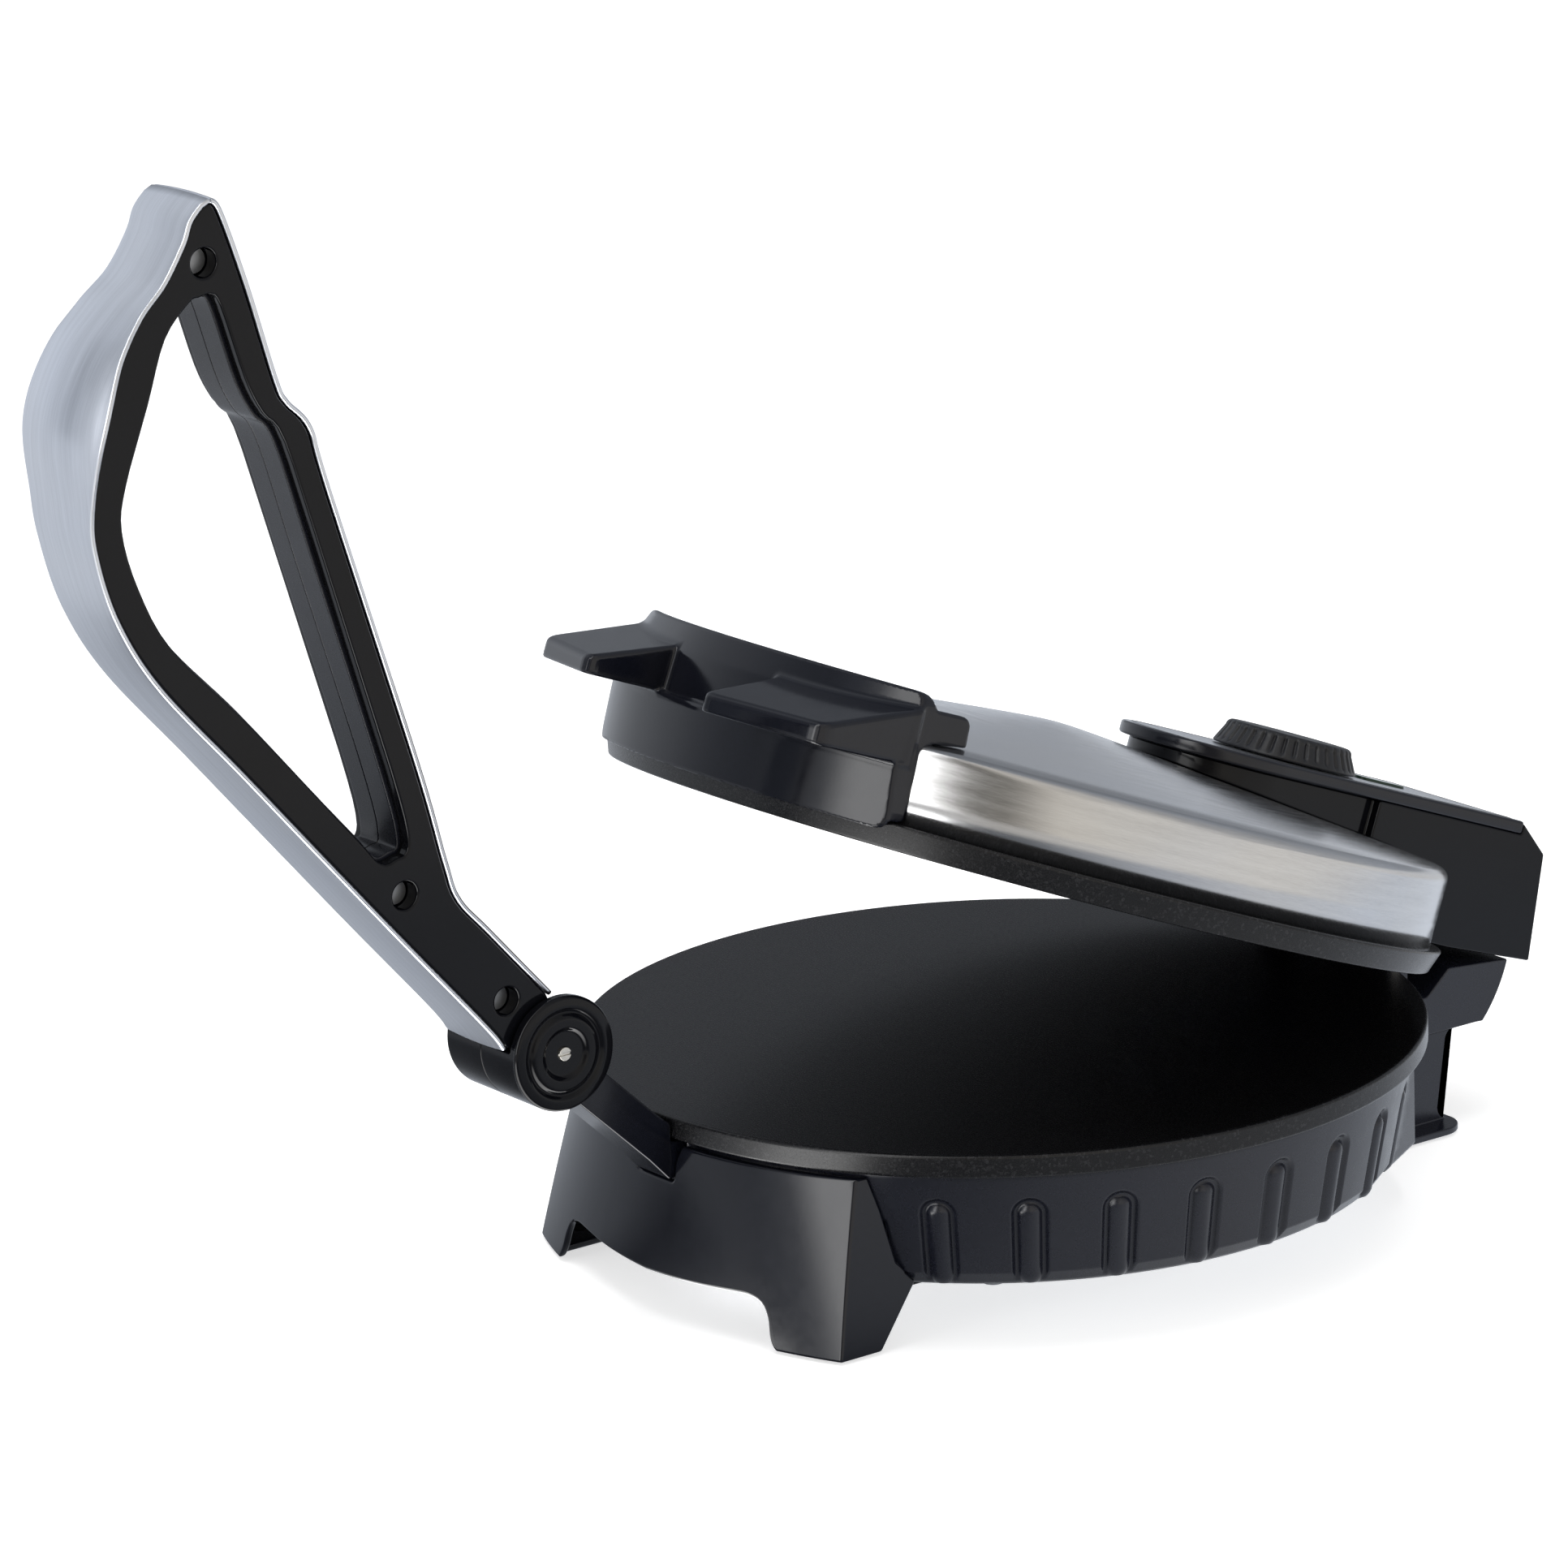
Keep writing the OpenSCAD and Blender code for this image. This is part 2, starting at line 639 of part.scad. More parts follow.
module hinge_knuckle() color("#1f2024") place() difference() {
    union() {
        across(knuckle_w) polygon(concat([[112, -28.4], [112, -16.1], [141.3, -16.1],
            [150.3, -8.6], [174.2, -10.6]], arc(hinge, knuckle_r, -18.5, -43, 8),
            [[161, -28.4]]));
        both_sides() slab(fixed_ear[0], fixed_ear[1]) union() {
            translate(hinge) circle(r = ear_r);
            translate([hinge[0] - 3.2, -17]) square([3.2 + ear_r, 17 + hinge[1]]);
        }
    }
    tub_solid(0.2);
    cylinder(r = plate_r + 0.5, h = 10, center = true, $fn = round_fn);
    rod(pin_r, -40, 40, hinge);
    across(knuckle_w - 6) polygon([[126, -25.6], [126, -18.8], [142.4, -18.8], [151.4, -11.4],
        [170.2, -13.1], [168.4, -17], [158.2, -25.6]]);
    translate([-20, 128, -30]) cube([40, 12, 8]);
}

module hinge_pin() color("#b4b5b8") place()
    rod(pin_r, -fixed_ear[1] + 0.4, fixed_ear[1] - 0.4, hinge);

module cord_gland() color("#141414") place() translate([0, 0, gland_z]) rotate([-90, 0, 0])
    difference() {
        union() {
            translate([0, 0, 138.5]) cylinder(r = gland_r, h = 12.5);
            translate([0, 0, 149.6]) cylinder(r = gland_r + 2, h = 2.4);
        }
        translate([0, 0, 138]) cylinder(r = gland_bore, h = 16);
    }

module terminal_block() color("#d8d4c8") place() difference() {
    translate([-18, 84, -tub_depth]) cube([36, 12, 11]);
    for (x = [-12, 0, 12]) translate([x, 83, -36]) rotate([-90, 0, 0]) cylinder(r = 2, h = 14);
}

// Outer form of the cover, grown by g
module cover_solid(g = 0) {
    rotate_extrude($fn = round_fn) polygon(concat([[0, upper_foot], [cover_r + g, upper_foot]],
        arc([cover_r - 5, cover_edge_z - 3.4], 3.5 + g, 0, 80, 5),
        [[70, cone_z(70) + g], [14, cone_z(14) + g], [5, cone_z(9) + g], [0, cone_z(8) + g]]));
}

module lid_cover() color("#c6c8cc") lid() difference() {
    cover_solid();
    rotate_extrude($fn = round_fn) polygon(concat([[0, upper_foot - 1], [cover_r - 1, upper_foot - 1]],
        arc([cover_r - 5, cover_edge_z - 3.4], 2.5, 0, 80, 5),
        [[70, cone_z(70) - 1], [14, cone_z(14) - 1], [0, cone_z(9) - 1]]));
    for (p = post_at) translate([p[0], p[1], 20]) cylinder(r = screw_r + play, h = 30);
    translate([18, 60, 20]) cylinder(r = 6, h = 30);
}

module upper_plate() color("#2b2b2d") lid() difference() {
    union() {
        translate([0, 0, plate_gap]) rotate([180, 0, 0])
            cast_plate(upper_r, upper_rim_t, upper_flare);
        for (p = post_at) translate([p[0], p[1], plate_gap + plate_core_t - 1]) cylinder(r = 5, h = 4);
    }
    for (p = post_at) translate([p[0], p[1], plate_gap + 2]) cylinder(r = screw_r + play, h = 12);
    rod(ear_r + 0.6, -32, 32, hinge);
}

module upper_element() color("#6d6862") lid() translate([0, 0, upper_back])
    rotate([0, 0, 105]) heating_ring();

module upper_reflector() color("#a4a6aa") lid() translate([0, 0, upper_back]) difference() {
    rotate([0, 0, 105]) heat_pan();
    for (p = post_at) translate([p[0], p[1], -1]) cylinder(r = 6, h = pan_h + 5);
}

// Height of the cover's underside over a post at p
function post_top(p) = cone_z(norm(p) + 4) - 1.3;

module cover_posts() color("#b9babc") lid() for (p = post_at)
    translate([p[0], p[1], upper_back + 3]) difference() {
        cylinder(r = 4, h = post_top(p) - upper_back - 3);
        translate([0, 0, -1]) cylinder(r = screw_r + play, h = 40);
    }

module cover_screws() color("#9c9ea2") lid() for (p = post_at)
    translate([p[0], p[1], cone_z(norm(p) - head_r) + 0.1]) rotate([180, 0, 0])
        screw(cone_z(norm(p)) - upper_back - 1);

// Cross-section of the front block, as [radius, z]
grip_section = [[128.5, 5.6], [129.9, 5.6], [130.9, 23.2], [130.5, 25.2], [128.3, 25.6],
    [127.8, 37.8], [124.6, 46.4], [122.3, 46.4], [121, 42.2], [112, 42.2], [110.6, 40.6],
    [110.6, cone_z(110.6) + 0.2], [119.9, cone_z(119.9) + 0.25], [121.8, 31.8], [123.2, 30.6],
    [123.7, 28.6], [cover_r + 0.4, 8.8], [128.5, 8.8]];

// Plan outline of one finger lug, its two front corners eased
function lug_plan() = let (outer = [lug_front_out[0], lug_back],
    inner = [lug_front_in[0] - lug_inset, lug_back]) concat(
        eased(inner, lug_front_in, lug_front_out, lug_ease),
        eased(lug_front_in, lug_front_out, outer, lug_ease), [outer, inner]);

module front_grip() color("#1a1b1f") lid() difference() {
    union() {
        intersection() {
            rotate([0, 0, -90 - grip_half_turn])
                rotate_extrude(angle = 2 * grip_half_turn, $fn = round_fn) polygon(grip_section);
            translate([0, -110, 0]) facing(90) polygon([[-grip_low_x, 0], [grip_low_x, 0],
                [grip_top_x, 50], [-grip_top_x, 50]]);
        }
        both_sides() difference() {
            translate([0, 0, lug_low]) linear_extrude(25) polygon(lug_plan());
            translate([lug_front_out[0], lug_front_out[1], lug_front_z])
                rotate([lug_slope, lug_tilt, 0]) translate([-100, -100, 0]) cube([200, 200, 60]);
            translate([0, 0, lug_low - 1]) cylinder(r = 126.3, h = 30, $fn = round_fn);
        }
    }
    for (p = post_at) translate([p[0], p[1], 30]) cylinder(r = head_r + 0.4, h = 30);
}

// Plan outline of the control box: half-width w, round front end, back at y = b
module box_plan(w, b) {
    union() {
        translate([0, box_round_y]) circle(r = w, $fn = 96);
        translate([-w, box_round_y]) square([2 * w, b - box_round_y]);
    }
}

module control_box() color("#18191d") lid() difference() {
    union() {
        difference() {
            union() {
                translate([0, 0, 28]) linear_extrude(bezel_low - 28)
                    box_plan(box_front_w / 2, block_y + 2);
                across(box_w) polygon([[block_y, 20], [block_y, bezel_low],
                    [bezel_back_y, bezel_low], [bezel_back_y, panel_z - 0.6], [179.6, 40.6],
                    [185.2, 7.4], [150, 6], [120, 6.4]]);
            }
            translate([0, 0, 20]) linear_extrude(40)
                box_plan(box_front_w / 2 - box_wall, block_y + 4);
            across(box_w - 2 * box_wall) polygon([[block_y + box_wall, 9],
                [block_y + box_wall, bezel_low + 1],
                [bezel_back_y - 2, bezel_low + 1], [bezel_back_y + 1, 44.6], [177.3, 38.9],
                [182.3, 9.8], [150, 8.6], [120, 9]]);
        }
        both_sides() slab(lid_ear[0], lid_ear[1]) union() {
            translate(hinge) circle(r = ear_r);
            translate([hinge[0] - 2, hinge[1]]) square([2 + ear_r, 4]);
        }
    }
    cover_solid(0.15);
    cylinder(r = upper_r + upper_flare + 0.1, h = upper_foot + 0.15, $fn = round_fn);
    rod(pin_r + play, -40, 40, hinge);
    both_sides() rod(ear_r + 0.6, fixed_ear[0] - 0.4, 40, hinge);
}

module control_bezel() color("#202126") lid() difference() {
    translate([0, 0, bezel_low]) linear_extrude(panel_z - bezel_low)
        box_plan(box_w / 2, bezel_back_y);
    translate([0, 0, panel_z - panel_t]) linear_extrude(2)
        box_plan(box_w / 2 - bezel_in, bezel_back_y - bezel_in);
    translate([0, 0, bezel_low - 1]) linear_extrude(6)
        box_plan(box_w / 2 - 2 * bezel_in, bezel_back_y - 2 * bezel_in);
}

module control_panel() color("#b4b7be") lid() difference() {
    translate([0, 0, panel_z - panel_t]) linear_extrude(panel_t)
        box_plan(box_w / 2 - bezel_in, bezel_back_y - bezel_in);
    translate([0, knob_y, panel_z - 2]) cylinder(r = bush_hole_r, h = 4);
    translate([0, 0, panel_z - 2]) linear_extrude(4) lens_plan(play);
}

// Plan of the oblong indicator lens, grown by g
module lens_plan(g = 0) {
    translate([0, lens_y]) union() {
        for (s = [-1, 1]) translate([0, s * (lens_len - lens_w) / 2]) circle(r = lens_w / 2 + g);
        translate([-lens_w / 2 - g, -(lens_len - lens_w) / 2])
            square([lens_w + 2 * g, lens_len - lens_w]);
    }
}

module indicator_lens() color("#16301f") lid() translate([0, 0, panel_z - 3])
    linear_extrude(3.8) lens_plan();

module indicator_lamp() color("#c88a4a") lid() translate([0, lens_y - 8, panel_z - 7])
    rotate([-90, 0, 0]) cylinder(r = 3, h = 16);

module thermostat() color("#8f8a80") lid() translate([0, knob_y, 0]) difference() {
    union() {
        translate([0, 0, cone_z(78) + 1]) cylinder(r = 12, h = 7.5);
        translate([0, 0, cone_z(78) + 8]) cylinder(r = 5, h = panel_z - panel_t - cone_z(78) - 8);
    }
    translate([0, 0, cone_z(78) + 3]) cylinder(r = shaft_r + play, h = 20);
}

module thermal_fuse() color("#d9d6cc") lid()
    translate([fuse_at[0], fuse_at[1], upper_back + pan_h + fuse_r + eps]) rotate([-90, 0, 0])
        cylinder(r = fuse_r, h = fuse_len);

module knob_shaft() color("#b4b5b8") lid() translate([0, knob_y, cone_z(78) + 3.6])
    cylinder(r = shaft_r, h = knob_gap + panel_z + 4 - cone_z(78) - 3.6);

module thermostat_knob() color("#17181b") lid() translate([0, knob_y, panel_z + knob_gap])
    difference() {
        rotate_extrude($fn = round_fn) polygon(concat([[0, 0], [knob_r - 0.4, 0], [knob_r, 0.6]],
            arc([knob_r - 4.3, knob_h - 2.4], 1.6, 15, 90, 3), [[8, knob_h], [0, knob_h]]));
        for (i = [0:knob_ribs - 1]) rotate([0, 0, i * 360 / knob_ribs])
            translate([knob_r + 0.5, 0, -1]) rotate([0, -24, 0]) cylinder(r = rib_cut_r, h = 12);
        translate([0, 0, -1]) cylinder(r = shaft_r, h = 5);
        translate([-0.6, knob_r - 12, knob_h - 0.5]) cube([1.2, 8, 1]);
    }

// Outline of the lever's core, its root drawn in to the pivot
core_edge = concat(curve(outer_side), curve(lid_side));
core_outline = concat(core_edge, core_root);

// One half of the core, between x = a and x = b
module core_half(a, b) difference() {
    union() {
        slab(a, b) difference() {
            polygon(core_outline);
            polygon(loop(hand_hole));
        }
        rod(eye_r, a < 0 ? a : eye_gap, a < 0 ? -eye_gap : b);
    }
    rod(eye_r - 0.7, -eye_gap, eye_gap);
    rod(bush_r, -20, 20);
    for (p = lever_screw_at) {
        rod(screw_hole_r, core_w / 2 - screw_sink, 20, p);
        rod(screw_r + play, -core_w / 2 + 3, 20, p);
    }
}

module lever_core_near() color("#17181b") lever() core_half(0, core_w / 2);

module lever_core_far() color("#17181b") lever() core_half(-core_w / 2, 0);

module lever_screws() color("#9c9ea2") lever() for (p = lever_screw_at)
    translate([core_w / 2 - screw_sink + head_h, p[0], p[1]]) rotate([0, -90, 0])
        translate([0, 0, head_h]) screw(core_w - screw_sink - 4, screw_r, screw_hole_r - 0.4);

module lever_bushes() color("#b08d4c") lever() both_sides() difference() {
    rod(bush_r, eye_gap, core_w / 2);
    rod(axle_r + play, 0, 20);
}

// Half-width and crown of the strap at a point of the core's edge
function bulge(p) = exp(-pow((p[0] - bulge_at) / bulge_spread, 2)) * min(1, max(0, (p[1] - 35) / 25));
function edge_normal(p, i) = let (d = p[min(i + 1, len(p) - 1)] - p[max(i - 1, 0)])
    [-d[1], d[0]] / norm(d);

// Points across the strap, from one edge to the other
function strap_ring(p, n) = let (half = strap_w / 2 + (bulge_w - strap_w) / 2 * bulge(p),
    crown = 0.5 + bulge_crown * bulge(p))
    concat([for (j = [0:strap_steps]) let (s = 2 * j / strap_steps - 1,
            q = p + n * (strap_t + crown * (1 - s * s))) [s * half, q[0], q[1]]],
        [for (s = [1, -1]) [s * half, p[0] + n[0] * 0.02, p[1] + n[1] * 0.02]]);

module lever_strap() color("#c9cbd0") lever() {
    count = len(core_edge);
    around = strap_steps + 3;
    points = [for (i = [0:count - 1]) each strap_ring(core_edge[i], edge_normal(core_edge, i))];
    walls = [for (i = [0:count - 2]) for (k = [0:around - 1]) let (a = i * around + k,
        b = i * around + (k + 1) % around) each [[a, b + around, b], [a, a + around, b + around]]];
    caps = [[for (k = [0:around - 1]) k],
        [for (k = [around - 1:-1:0]) (count - 1) * around + k]];
    polyhedron(points = points, faces = concat(walls, caps), convexity = 10);
}

base_shell();
bottom_cover();
lower_plate();
lower_element();
lower_reflector();
plate_spacers();
plate_screws();
cover_plate_screws();
front_skirt();
skirt_screws();
front_feet();
press_arm();
arm_bracket();
arm_screws();
hub_shell_near();
hub_shell_far();
hub_axle();
rear_post();
hinge_knuckle();
hinge_pin();
rear_feet();
post_screws();
cord_gland();
terminal_block();
lid_cover();
upper_plate();
upper_element();
upper_reflector();
cover_posts();
cover_screws();
front_grip();
control_box();
control_bezel();
control_panel();
thermostat();
indicator_lens();
indicator_lamp();
thermal_fuse();
thermostat_knob();
knob_shaft();
lever_strap();
lever_core_near();
lever_core_far();
lever_screws();
lever_bushes();
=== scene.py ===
"""Electric roti maker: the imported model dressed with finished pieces, materials and a plain studio.

The whole script works in metres in the part's own frame. Sizes that describe the object are in
millimetres, measured from the middle of the lower plate's cooking face with the lid shut and the
lever lying along +Y from its pivot. on_base, on_lid and on_lever carry such points to their places.
"""
import json
import math

import bmesh
import bpy
import numpy as np
from mathutils import Matrix

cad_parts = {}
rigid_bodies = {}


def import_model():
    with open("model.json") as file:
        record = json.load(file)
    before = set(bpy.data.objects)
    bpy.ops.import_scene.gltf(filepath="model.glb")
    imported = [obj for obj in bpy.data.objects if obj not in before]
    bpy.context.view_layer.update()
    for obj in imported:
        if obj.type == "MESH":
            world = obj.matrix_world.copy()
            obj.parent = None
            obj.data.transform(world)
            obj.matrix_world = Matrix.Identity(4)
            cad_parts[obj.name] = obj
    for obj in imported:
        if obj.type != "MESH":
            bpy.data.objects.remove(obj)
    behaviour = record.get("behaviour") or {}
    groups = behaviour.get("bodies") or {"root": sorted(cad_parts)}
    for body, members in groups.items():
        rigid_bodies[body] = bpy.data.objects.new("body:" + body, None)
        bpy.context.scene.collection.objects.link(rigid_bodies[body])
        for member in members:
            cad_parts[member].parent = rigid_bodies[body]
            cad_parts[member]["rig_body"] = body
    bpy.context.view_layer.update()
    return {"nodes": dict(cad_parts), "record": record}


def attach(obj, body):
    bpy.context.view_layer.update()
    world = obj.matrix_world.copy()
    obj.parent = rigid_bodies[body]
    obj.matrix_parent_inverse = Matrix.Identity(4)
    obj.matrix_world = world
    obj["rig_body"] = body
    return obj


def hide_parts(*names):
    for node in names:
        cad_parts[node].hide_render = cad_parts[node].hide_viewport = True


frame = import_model()

MM = 0.001
PLATE = np.array([0.0, 62.4, 60.0])
HINGE = np.array([0.0, 129.2, 3.8])
HUB = np.array([0.0, -169.4, 30.7])
LID_OPEN = math.radians(21.15)
LEVER_REST = math.radians(106.4)


# Places
def turned(points, about, angle):
    """Points turned by angle about the X axis through about."""
    x, y, z = np.moveaxis(np.asarray(points, float) - about, -1, 0)
    c, s = math.cos(angle), math.sin(angle)
    return np.stack([x, y * c - z * s, y * s + z * c], -1) + about


def on_base(points):
    """Millimetres in the plate's frame to metres in the part's frame."""
    return (np.asarray(points, float) + PLATE) * MM


def on_lid(points):
    """Points of the shut lid, turned open about the hinge."""
    return on_base(turned(points, HINGE, -LID_OPEN))


def on_lever(points):
    """Points (x, along, across) of the lever, turned to its rest angle about the hub."""
    return on_base(turned(points, np.zeros(3), LEVER_REST) + HUB)


def placed(right, up, back, place):
    """The matrix of a camera or lamp at place that looks away from back."""
    return Matrix([[right[i], up[i], back[i], place[i]] for i in range(3)] + [[0, 0, 0, 1]])


# Meshes
def new_piece(name, verts, faces, body, finish, replaced=(), uv=None, normals=None):
    """Makes one piece from arrays of vertices and faces. A closed shape that came out inside out is
    turned round. uv, in metres, goes into the map named along; normals are those at the vertices."""
    verts = np.asarray(verts, float).reshape(-1, 3)
    volume = 0.0
    for f in faces:
        for k in range(1, f.shape[1] - 1):
            a, b, c = verts[f[:, 0]], verts[f[:, k]], verts[f[:, k + 1]]
            volume += np.einsum("ij,ij->i", a, np.cross(b, c)).sum()
    if volume < 0:
        faces = [f[:, ::-1] for f in faces]
    mesh = bpy.data.meshes.new(name)
    mesh.from_pydata(verts.tolist(), [], [row for f in faces for row in f.tolist()])
    if uv is not None:
        layer = mesh.uv_layers.new(name="along")
        index = np.zeros(len(mesh.loops), np.int32)
        mesh.loops.foreach_get("vertex_index", index)
        layer.data.foreach_set("uv", np.asarray(uv, np.float32).reshape(-1, 2)[index].ravel())
    mesh.polygons.foreach_set("use_smooth", np.full(len(mesh.polygons), True))
    mesh.materials.append(finish)
    mesh.update()
    if normals is not None:
        mesh.normals_split_custom_set_from_vertices(normals.tolist())
    piece = bpy.data.objects.new(name, mesh)
    bpy.context.scene.collection.objects.link(piece)
    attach(piece, body)
    if replaced:
        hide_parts(*replaced)


def grid_faces(rows, cols, wrap_rows=True):
    """Quads of a grid of points, row by row. Each row is a closed ring, and wrap_rows joins the last
    row to the first."""
    i = np.arange(rows if wrap_rows else rows - 1)[:, None]
    j = np.arange(cols)[None, :]
    a = i * cols + j
    b = i * cols + (j + 1) % cols
    c = ((i + 1) % rows) * cols + (j + 1) % cols
    d = ((i + 1) % rows) * cols + j
    return np.stack([a, b, c, d], -1).reshape(-1, 4)


def lathe(profile, steps):
    """A closed profile of (radius, z) points carried round the Z axis: x = r cos a, y = r sin a."""
    angle = np.linspace(0, 2 * np.pi, steps, endpoint=False)[:, None]
    r, z = profile[:, 0][None, :], profile[:, 1][None, :]
    points = np.stack([r * np.cos(angle), r * np.sin(angle), z + 0 * angle], -1)
    return points, grid_faces(steps, len(profile))


def arc(centre, radius, start, stop, steps):
    """Points on an arc, angles in degrees."""
    t = np.radians(np.linspace(start, stop, steps + 1))
    return np.stack([centre[0] + radius * np.cos(t), centre[1] + radius * np.sin(t)], -1)


def ease(t):
    """Smoothstep: 3 t^2 - 2 t^3 between 0 and 1."""
    t = np.clip(t, 0, 1)
    return t * t * (3 - 2 * t)


def smooth_curve(points, steps, closed=False):
    """A Catmull-Rom curve through the points, with steps from each point to the next."""
    p = np.asarray(points, float)
    m = len(p)
    at = (lambda k: p[k % m]) if closed else (lambda k: p[np.clip(k, 0, m - 1)])
    i = np.arange(m if closed else m - 1)
    t = (np.arange(steps) / steps)[None, :, None]
    a, b, c, d = (at(i + k)[:, None, :] for k in (-1, 0, 1, 2))
    square, cube = 2 * a - 5 * b + 4 * c - d, 3 * b - a - 3 * c + d
    curve = (0.5 * (2 * b + (c - a) * t + square * t ** 2 + cube * t ** 3)).reshape(-1, p.shape[1])
    return curve if closed else np.vstack([curve, p[-1:]])


def normals_of(curve, closed=False):
    """Unit normals to the left of a plane curve."""
    if closed:
        d = np.roll(curve, -1, 0) - np.roll(curve, 1, 0)
    else:
        d = np.gradient(curve, axis=0)
    return np.stack([-d[:, 1], d[:, 0]], -1) / np.linalg.norm(d, axis=1)[:, None]


def eased(points, size):
    """A closed outline with each corner b between a and c replaced by the parabola
    b + t (1 - s)^2 u + t s^2 v, where u and v point to a and c. size gives t for each corner, which
    takes at most 0.45 of the shorter side beside it."""
    p = np.asarray(points, float)
    to_last, to_next = np.roll(p, 1, 0) - p, np.roll(p, -1, 0) - p
    last_len, next_len = np.linalg.norm(to_last, axis=1), np.linalg.norm(to_next, axis=1)
    t = np.minimum(size, 0.45 * np.minimum(last_len, next_len))[:, None, None]
    s = np.linspace(0, 1, 6)[None, :, None]
    u, v = (to_last / last_len[:, None])[:, None], (to_next / next_len[:, None])[:, None]
    return (p[:, None] + t * (1 - s) ** 2 * u + t * s ** 2 * v).reshape(-1, 2)


def outline_distance(p, q, outline):
    """Signed distance of the points (p, q) from a closed outline, below zero inside it."""
    least, sign = np.full(p.shape, 1e9), np.ones(p.shape)
    for (ax, ay), (bx, by) in zip(outline, np.roll(outline, -1, 0)):
        ex, ey, wx, wy = bx - ax, by - ay, p - ax, q - ay
        t = np.clip((wx * ex + wy * ey) / (ex * ex + ey * ey), 0, 1)
        least = np.minimum(least, (wx - ex * t) ** 2 + (wy - ey * t) ** 2)
        above, below, left = q >= ay, q < by, ex * wy > ey * wx
        sign = np.where((above & below & left) | ~(above | below | left), -sign, sign)
    return sign * np.sqrt(least)


def round_max(a, b, r):
    """The larger of two distances, its crease rounded over about r:
    max(a, b) + max(r - |a - b|, 0)^2 / 4r."""
    return np.maximum(a, b) + np.maximum(r - np.abs(a - b), 0) ** 2 / (4 * r)


def round_min(a, b, r):
    """The smaller of two distances with a fillet of about r where they meet."""
    return -round_max(-a, -b, r)


def surface_of(field, low, high, cell):
    """The zero surface of a signed distance field: one vertex in each grid cell that the surface
    crosses, moved onto it along the gradient, and one quad round each grid edge it crosses. Gives
    the vertices, the faces and the unit normals there."""
    lines = [np.arange(a, b, cell) for a, b in zip(low, high)]
    grid = np.stack(np.meshgrid(*lines, indexing="ij"), -1)
    inside = field(grid) < 0
    filled = sum(inside[i:i - 1 or None, j:j - 1 or None, k:k - 1 or None].astype(int)
                 for i in (0, 1) for j in (0, 1) for k in (0, 1))
    crossed = (filled > 0) & (filled < 8)
    number = np.full(crossed.shape, -1)
    number[crossed] = np.arange(crossed.sum())
    verts = grid[:-1, :-1, :-1][crossed] + cell / 2
    step, rounds, least = 0.02, 7, 0.2
    for _ in range(rounds):
        slope = [(field(verts + d) - field(verts - d)) / (2 * step) for d in step * np.eye(3)]
        slope = np.stack(slope, -1)
        size = np.maximum((slope ** 2).sum(-1), least)
        verts = verts - slope * (field(verts) / size)[:, None]
    faces = []
    for axis in range(3):
        order = (axis, (axis + 1) % 3, (axis + 2) % 3)
        solid, cells = np.transpose(inside, order)[:, 1:-1, 1:-1], np.transpose(number, order)
        quad = np.stack([cells[:, :-1, :-1], cells[:, 1:, :-1], cells[:, 1:, 1:], cells[:, :-1, 1:]], -1)
        leaves, enters = solid[:-1] & ~solid[1:], ~solid[:-1] & solid[1:]
        faces += [quad[leaves], quad[enters][:, ::-1]]
    return verts, np.vstack(faces), slope / np.linalg.norm(slope, axis=1)[:, None]


slot_of = {p["node"]: p["material_slot"] for p in frame["record"]["subparts"]}
WELD, FLAT, SHARP, BEVEL_STEPS = 2e-5, math.radians(0.6), math.radians(32), 3


def refine(node, finish, edge, keep_below=None):
    """A merged copy of a CAD node with rounded edges: coplanar triangles joined, edges sharper than
    SHARP bevelled edge millimetres wide, and shading weighted by face size so that flats stay flat.
    keep_below drops what lies beyond that x, in millimetres, where a new piece takes over."""
    source = frame["nodes"][node]
    bm = bmesh.new()
    bm.from_mesh(source.data)
    bmesh.ops.remove_doubles(bm, verts=bm.verts, dist=WELD)
    bmesh.ops.dissolve_degenerate(bm, edges=bm.edges, dist=WELD / 2)
    bmesh.ops.dissolve_limit(bm, angle_limit=FLAT, verts=bm.verts, edges=bm.edges)
    if keep_below is not None:
        bmesh.ops.bisect_plane(bm, geom=[*bm.verts, *bm.edges, *bm.faces], clear_outer=True,
                               plane_co=(keep_below * MM, 0, 0), plane_no=(1, 0, 0))
    mesh = bpy.data.meshes.new(node + "_finished")
    bm.to_mesh(mesh)
    bm.free()
    mesh.polygons.foreach_set("use_smooth", np.full(len(mesh.polygons), True))
    mesh.materials.append(finish)
    piece = bpy.data.objects.new(node + "_finished", mesh)
    bpy.context.scene.collection.objects.link(piece)
    bevel = piece.modifiers.new("Rounded edges", "BEVEL")
    bevel.width, bevel.segments = edge * MM, BEVEL_STEPS
    bevel.limit_method, bevel.angle_limit = "ANGLE", SHARP
    bevel.use_clamp_overlap = False
    bevel.miter_outer = "MITER_ARC"
    weighted = piece.modifiers.new("Flat faces stay flat", "WEIGHTED_NORMAL")
    weighted.weight = 60
    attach(piece, source["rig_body"])
    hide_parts(node)


# Materials
def linear(code):
    """An sRGB hex colour as linear RGBA."""
    c = np.array([int(code[i:i + 2], 16) for i in (1, 3, 5)]) / 255
    return (*np.where(c <= 0.04045, c / 12.92, ((c + 0.055) / 1.055) ** 2.4), 1.0)


def add(tree, kind, inputs=None, **settings):
    """Adds a node: settings are its own properties, inputs its sockets' values or links."""
    node = tree.nodes.new("ShaderNode" + kind)
    for key, value in settings.items():
        setattr(node, key, value)
    for key, value in (inputs or {}).items():
        if isinstance(value, bpy.types.NodeSocket):
            tree.links.new(value, node.inputs[key])
        else:
            node.inputs[key].default_value = value
    return node


